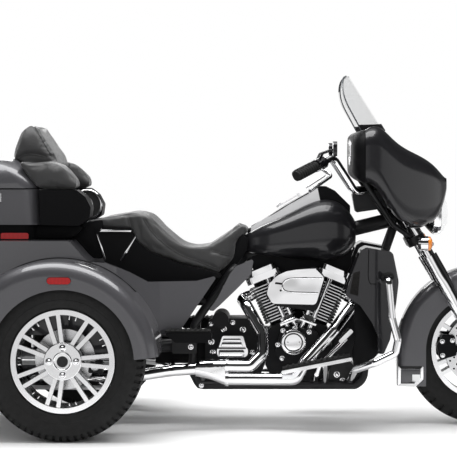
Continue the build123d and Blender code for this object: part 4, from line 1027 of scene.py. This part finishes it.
# Fork, calipers and front fender
# Plated sliders with an axle nut each side, black calipers on two bolts, and a painted fender with
# a plated frame on its tail.
lathe(((0, 0), (0.0165, 0), (0.0165, 0.004), (0.013, 0.005), (0.013, 0.012), (0.010, 0.015), (0, 0.016)), 24)
stand((FRONT_AXLE.x, -0.1495, FRONT_AXLE.z), TO_THE_RIGHT)
settle("axle_nuts", "front_end", chrome, both=True)
cap_screw(0.0075)
bolt_places = ((0.848, -0.0958, 0.348), (0.850, -0.0958, 0.290), (0.890, -0.0958, 0.352))
copies([aim(spot, TO_THE_RIGHT) for spot in bolt_places])
settle("caliper_bolts", "front_end", chrome, both=True)
TAIL_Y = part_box("front_fender")[0].y
trim_outer = ((0.668, 0.161), (0.668, 0.244), (0.772, 0.244), (0.772, 0.188), (0.744, 0.161))
plate(trim_outer, TAIL_Y + 0.001, 0.005, 0.0018)
pick_faces(lambda centre, normal: normal.y < -0.9)
bpy.ops.mesh.inset(thickness=0.011)
push((0, 0.003, 0))
settle("fender_trim", "front_end", chrome, both=True)
inset_outline = ((0.681, 0.174), (0.681, 0.231), (0.759, 0.231), (0.759, 0.194), (0.739, 0.174))
plate(inset_outline, TAIL_Y + 0.0005, 0.0036, 0.0006)
settle("fender_trim_panels", "front_end", grey_paint, both=True)


# Fairing, screen and lamps
# Painted shell round a black dash with dials; a clear screen, its edges painted dark as shade, stands in a
# black trim, and the headlamp has a plated reflector.
screen_edge_shade, shader, place = new_finish("screen_edge_shade", (0.05, 0.055, 0.06), 0.2)
(place.noise(40, 2) * 0.1 + 0.15).feed(shader, "Roughness")
clear_screen, shader, place = new_finish("clear_screen", (0.24, 0.25, 0.26), 0.03, shine=0.3)
shader.inputs["Alpha"].default_value = 0.12
(place.noise(30, 2) * 0.02 + 0.02).feed(shader, "Roughness")
lens_clear, shader, place = new_finish("lens_clear", (0.85, 0.88, 0.9), 0.02)
shader.inputs["Alpha"].default_value = 0.10
(place.noise(30, 2) * 0.02 + 0.01).feed(shader, "Roughness")
SCREEN_RADIUS = 0.370
SCREEN_AXIS = Vector((0.614 - SCREEN_RADIUS, 0, 1.206))
SCREEN_RUN = Vector((-0.147, 0, 0.232)).normalized()


def on_screen_edge(centre, normal):
    """The cut edges of the sheet get a dark painted shade, its faces stay clear."""
    level = (centre.z - SCREEN_AXIS.z) / SCREEN_RUN.z
    spine = SCREEN_AXIS + SCREEN_RUN * level
    out = Vector((centre.x - spine.x, centre.y, 0)).normalized()
    return abs(normal.dot(out)) < 0.45


dress_faces("windshield", (clear_screen, screen_edge_shade), on_screen_edge)
dress(lens_clear, "headlamp_lens")
amber_lens, shader, place = new_finish("amber_lens", (0.85, 0.25, 0.02), 0.08, 0.0, 1.0)
place.noise(60, 1).mix((0.75, 0.18, 0.015), (0.95, 0.34, 0.03)).feed(shader, "Base Color")
dress(amber_lens, "turn_lenses")

# A dark tube along the top and sides of the screen is painted shade for its edge.
CORNER_Y, CORNER_Z, CORNER_RADIUS = 0.094, 1.287, 0.150
edge_line = [(-0.252, 1.206), (-0.248, 1.250)]
for step in range(9):
    turn = math.pi - step * math.pi / 16
    edge_line.append((-CORNER_Y + CORNER_RADIUS * math.cos(turn), CORNER_Z + CORNER_RADIUS * math.sin(turn)))
edge_line += [(-y, z) for y, z in reversed(edge_line)]
edge_points = []
for y, z in edge_line:
    spine_x = SCREEN_AXIS.x + SCREEN_RUN.x / SCREEN_RUN.z * (z - SCREEN_AXIS.z)
    edge_points.append((spine_x + math.sqrt((SCREEN_RADIUS - 0.0025) ** 2 - y * y), y, z))
tube_along(edge_points, 0.0027)
settle("screen_rim_shade", "front_end", screen_edge_shade)
band_points = []
for step in range(15):
    turn = math.radians(-43 + step * 86 / 14)
    band_points.append((math.cos(turn), math.sin(turn)))
draw_outline([
    (SCREEN_AXIS.x + (SCREEN_RADIUS + 0.0015) * c, (SCREEN_RADIUS + 0.0015) * s, 1.214 - 0.012 * abs(s))
    for c, s in band_points
])
push(SCREEN_RUN * 0.034)
bpy.ops.object.mode_set(mode="OBJECT")
bpy.ops.object.modifier_add(type="SOLIDIFY")
trim = bpy.context.active_object
trim.modifiers[-1].thickness = 0.005
trim.modifiers[-1].offset = 0
bpy.ops.object.modifier_apply(modifier=trim.modifiers[-1].name)
bpy.ops.object.mode_set(mode="EDIT")
bpy.ops.mesh.select_all(action="SELECT")
bpy.ops.mesh.normals_make_consistent(inside=False)
soften(0.0015)
settle("screen_trim", "front_end", black_plastic)

LAMP = Vector((0.790, 0, 0.873))
AHEAD = Vector((1, 0, 0))
lathe((
    (0, 0.002), (0.018, 0.002), (0.030, 0.006), (0.050, 0.018), (0.066, 0.038), (0.0765, 0.054),
    (0.0755, 0.054), (0.064, 0.041), (0.048, 0.022), (0.028, 0.010), (0.016, 0.005), (0, 0.005),
), 48)
stand(LAMP, AHEAD)
settle("lamp_reflector", "front_end", chrome)
bulb_rows = ((0, 0.005), (0.020, 0.005), (0.022, 0.024), (0.018, 0.038), (0.010, 0.046), (0, 0.048))
lathe(bulb_rows, 32)
copies([aim(LAMP + Vector((0, y, z)), AHEAD) for y, z in ((-0.026, 0.010), (0.026, 0.010), (0, -0.034))])
settle("lamp_projectors", "front_end", lens_clear)

DASH_FACE_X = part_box("inner_fairing")[0].x
DIAL_CENTRES = (
    # y, z, radius
    (-0.062, 1.125, 0.050), (0.062, 1.125, 0.050), (-0.172, 1.140, 0.028), (0.172, 1.140, 0.028),
)
TO_THE_RIDER = (-1, 0, 0)
dials = []
glasses = []
for y, z, radius in DIAL_CENTRES:
    inner, outer = radius * 0.9, radius * 1.1
    rows = ((inner, -0.006), (outer, -0.006), (outer, 0.001), (radius, 0.002), (inner, 0.001))
    lathe(rows + rows[:1], 40)
    dials.append(stand((DASH_FACE_X, y, z), TO_THE_RIDER))
    lathe(((0, -0.004), (radius * 0.92, -0.004), (radius * 0.92, 0.0008), (0, 0.0012)), 40)
    glasses.append(stand((DASH_FACE_X, y, z), TO_THE_RIDER))
join(dials)
settle("dial_rings", "front_end", chrome)
join(glasses)
settle("dial_faces", "front_end", black_gloss)


# Handlebar and mirrors
# Plated bar with ribbed rubber grips, and mirrors with silvered glass facing the rider.
dress(rubber, "grips")
dress_faces("hand_controls", (black_gloss, chrome), lambda centre, normal: centre.z < 1.075)
mirror_glass, shader, place = new_finish("mirror_glass", (0.80, 0.82, 0.84), 0.02, 1.0)
(place.noise(50, 2) * 0.01 + 0.01).feed(shader, "Roughness")
BAR_END = Vector((0.250, -0.455, 1.030))
BAR_BEND = Vector((0.395, -0.272, 1.105))
inward = (BAR_BEND - BAR_END).normalized()
band(0.0185, 0.006, 0.0022)
copies([aim(BAR_END + inward * (0.008 + 0.0145 * rib), inward) for rib in range(8)])
settle("grip_ribs", "front_end", rubber, both=True)
MIRROR = Vector((0.390, -0.403, 1.137))
glass_outline = (
    # y and z from the middle of the mirror
    (-0.056, -0.016), (-0.048, -0.024), (0.048, -0.024), (0.056, -0.016),
    (0.056, 0.016), (0.048, 0.024), (-0.048, 0.024), (-0.056, 0.016),
)
draw_outline([(MIRROR.x - 0.0004, MIRROR.y + y, MIRROR.z + z) for y, z in glass_outline])
bpy.ops.mesh.edge_face_add()
push((0.002, 0, 0))
bpy.ops.mesh.select_all(action="SELECT")
bpy.ops.mesh.normals_make_consistent(inside=False)
settle("mirror_glasses", "front_end", mirror_glass, both=True)


# Studio
# White cyclorama with a soft overhead bank and a fill from the camera's side; the floor keeps the
# shadow and fades to white away from the wheels.
bpy.ops.object.select_all(action="DESELECT")
bpy.ops.mesh.primitive_plane_add(size=14, location=(0, 0, -0.0005))
floor = bpy.context.active_object
floor.name = "studio_floor"
floor_paint = bpy.data.materials.new("studio_floor")
floor_paint.use_nodes = True
tree = floor_paint.node_tree
shader = tree.nodes["Principled BSDF"]
shader.inputs["Base Color"].default_value = (0.86, 0.86, 0.86, 1)
shader.inputs["Roughness"].default_value = 0.7
place = Wire(tree, tree.nodes.new("ShaderNodeTexCoord").outputs["Object"])
spread = place.node("ShaderNodeVectorMath", {"operation": "LENGTH"}, {0: place}, 1)
spread.between(3.2, 1.7).feed(shader, "Alpha")
floor.data.materials.append(floor_paint)

world = bpy.data.worlds.new("studio")
bpy.context.scene.world = world
world.use_nodes = True
tree = world.node_tree
sky = Wire(tree, tree.nodes.new("ShaderNodeTexCoord").outputs["Generated"])
rays = tree.nodes.new("ShaderNodeLightPath")
seen = Wire(tree, rays.outputs["Is Camera Ray"])
mirrored = Wire(tree, rays.outputs["Is Glossy Ray"]) + Wire(tree, rays.outputs["Is Transmission Ray"])
BANK_STOPS = (
    # height from straight down to straight up, and how bright polished metal sees the studio there
    (0.0, 0.5), (0.30, 0.42), (0.44, 0.62), (0.475, 0.98), (0.55, 0.9), (0.59, 0.04), (0.86, 0.03),
    (0.93, 1.0),
)
FLAG_STOPS = (
    # the same from the middle of the studio to its ends
    (0.0, 1.0), (0.56, 1.0), (0.64, 0.22), (0.80, 0.22), (0.88, 0.95),
)
bank = sky.node("ShaderNodeValToRGB", {"stops": BANK_STOPS}, {0: sky.axis("Z") * 0.5 + 0.5})
sideways = sky.node("ShaderNodeMath", {"operation": "ABSOLUTE"}, {0: sky.axis("X")})
flags = sky.node("ShaderNodeValToRGB", {"stops": FLAG_STOPS}, {0: sideways})
level = seen + (1 - seen) * (mirrored * bank * flags + (1 - mirrored) * 0.5)
tree.links.new(level.socket, tree.nodes["Background"].inputs["Strength"])
tree.nodes["Background"].inputs["Color"].default_value = (1, 1, 1, 1)

LAMPS = (
    # name, place, aim, width, depth, watts
    ("overhead_bank", (0.0, -0.6, 4.2), (0.0, 0.0, 0.6), 5.0, 2.4, 250),
    ("camera_fill", (1.2, -6.0, 2.6), (0.0, 0.0, 0.6), 3.5, 2.5, 80),
    ("far_rim", (-1.5, 4.5, 3.2), (0.0, 0.0, 0.6), 3.5, 1.6, 90),
)
for name, spot, target, width, depth, watts in LAMPS:
    bpy.ops.object.light_add(type="AREA", location=spot)
    lamp = bpy.context.active_object
    lamp.name = name
    lamp.data.shape = "RECTANGLE"
    lamp.data.size = width
    lamp.data.size_y = depth
    lamp.data.energy = watts
    lamp.visible_glossy = name != "camera_fill"
    lamp.rotation_mode = "QUATERNION"
    lamp.rotation_quaternion = (Vector(target) - Vector(spot)).to_track_quat("-Z", "Y")

CAMERA_PLACE = (0.201, -8.370, 1.093)
FOCAL_PIXELS = 2012
PICTURE_PIXELS = 457
STRAIGHT_AHEAD = (285, 160)
bpy.ops.object.camera_add(location=CAMERA_PLACE)
camera = bpy.context.active_object
camera.data.sensor_width = 36
camera.data.lens = 36 * FOCAL_PIXELS / PICTURE_PIXELS
across = (PICTURE_PIXELS / 2 - STRAIGHT_AHEAD[0]) / FOCAL_PIXELS
down = (PICTURE_PIXELS / 2 - STRAIGHT_AHEAD[1]) / FOCAL_PIXELS
camera.rotation_mode = "QUATERNION"
camera.rotation_quaternion = Vector((across, 1, -down)).to_track_quat("-Z", "Y")
bpy.context.scene.camera = camera
bpy.context.scene.view_settings.view_transform = "Standard"
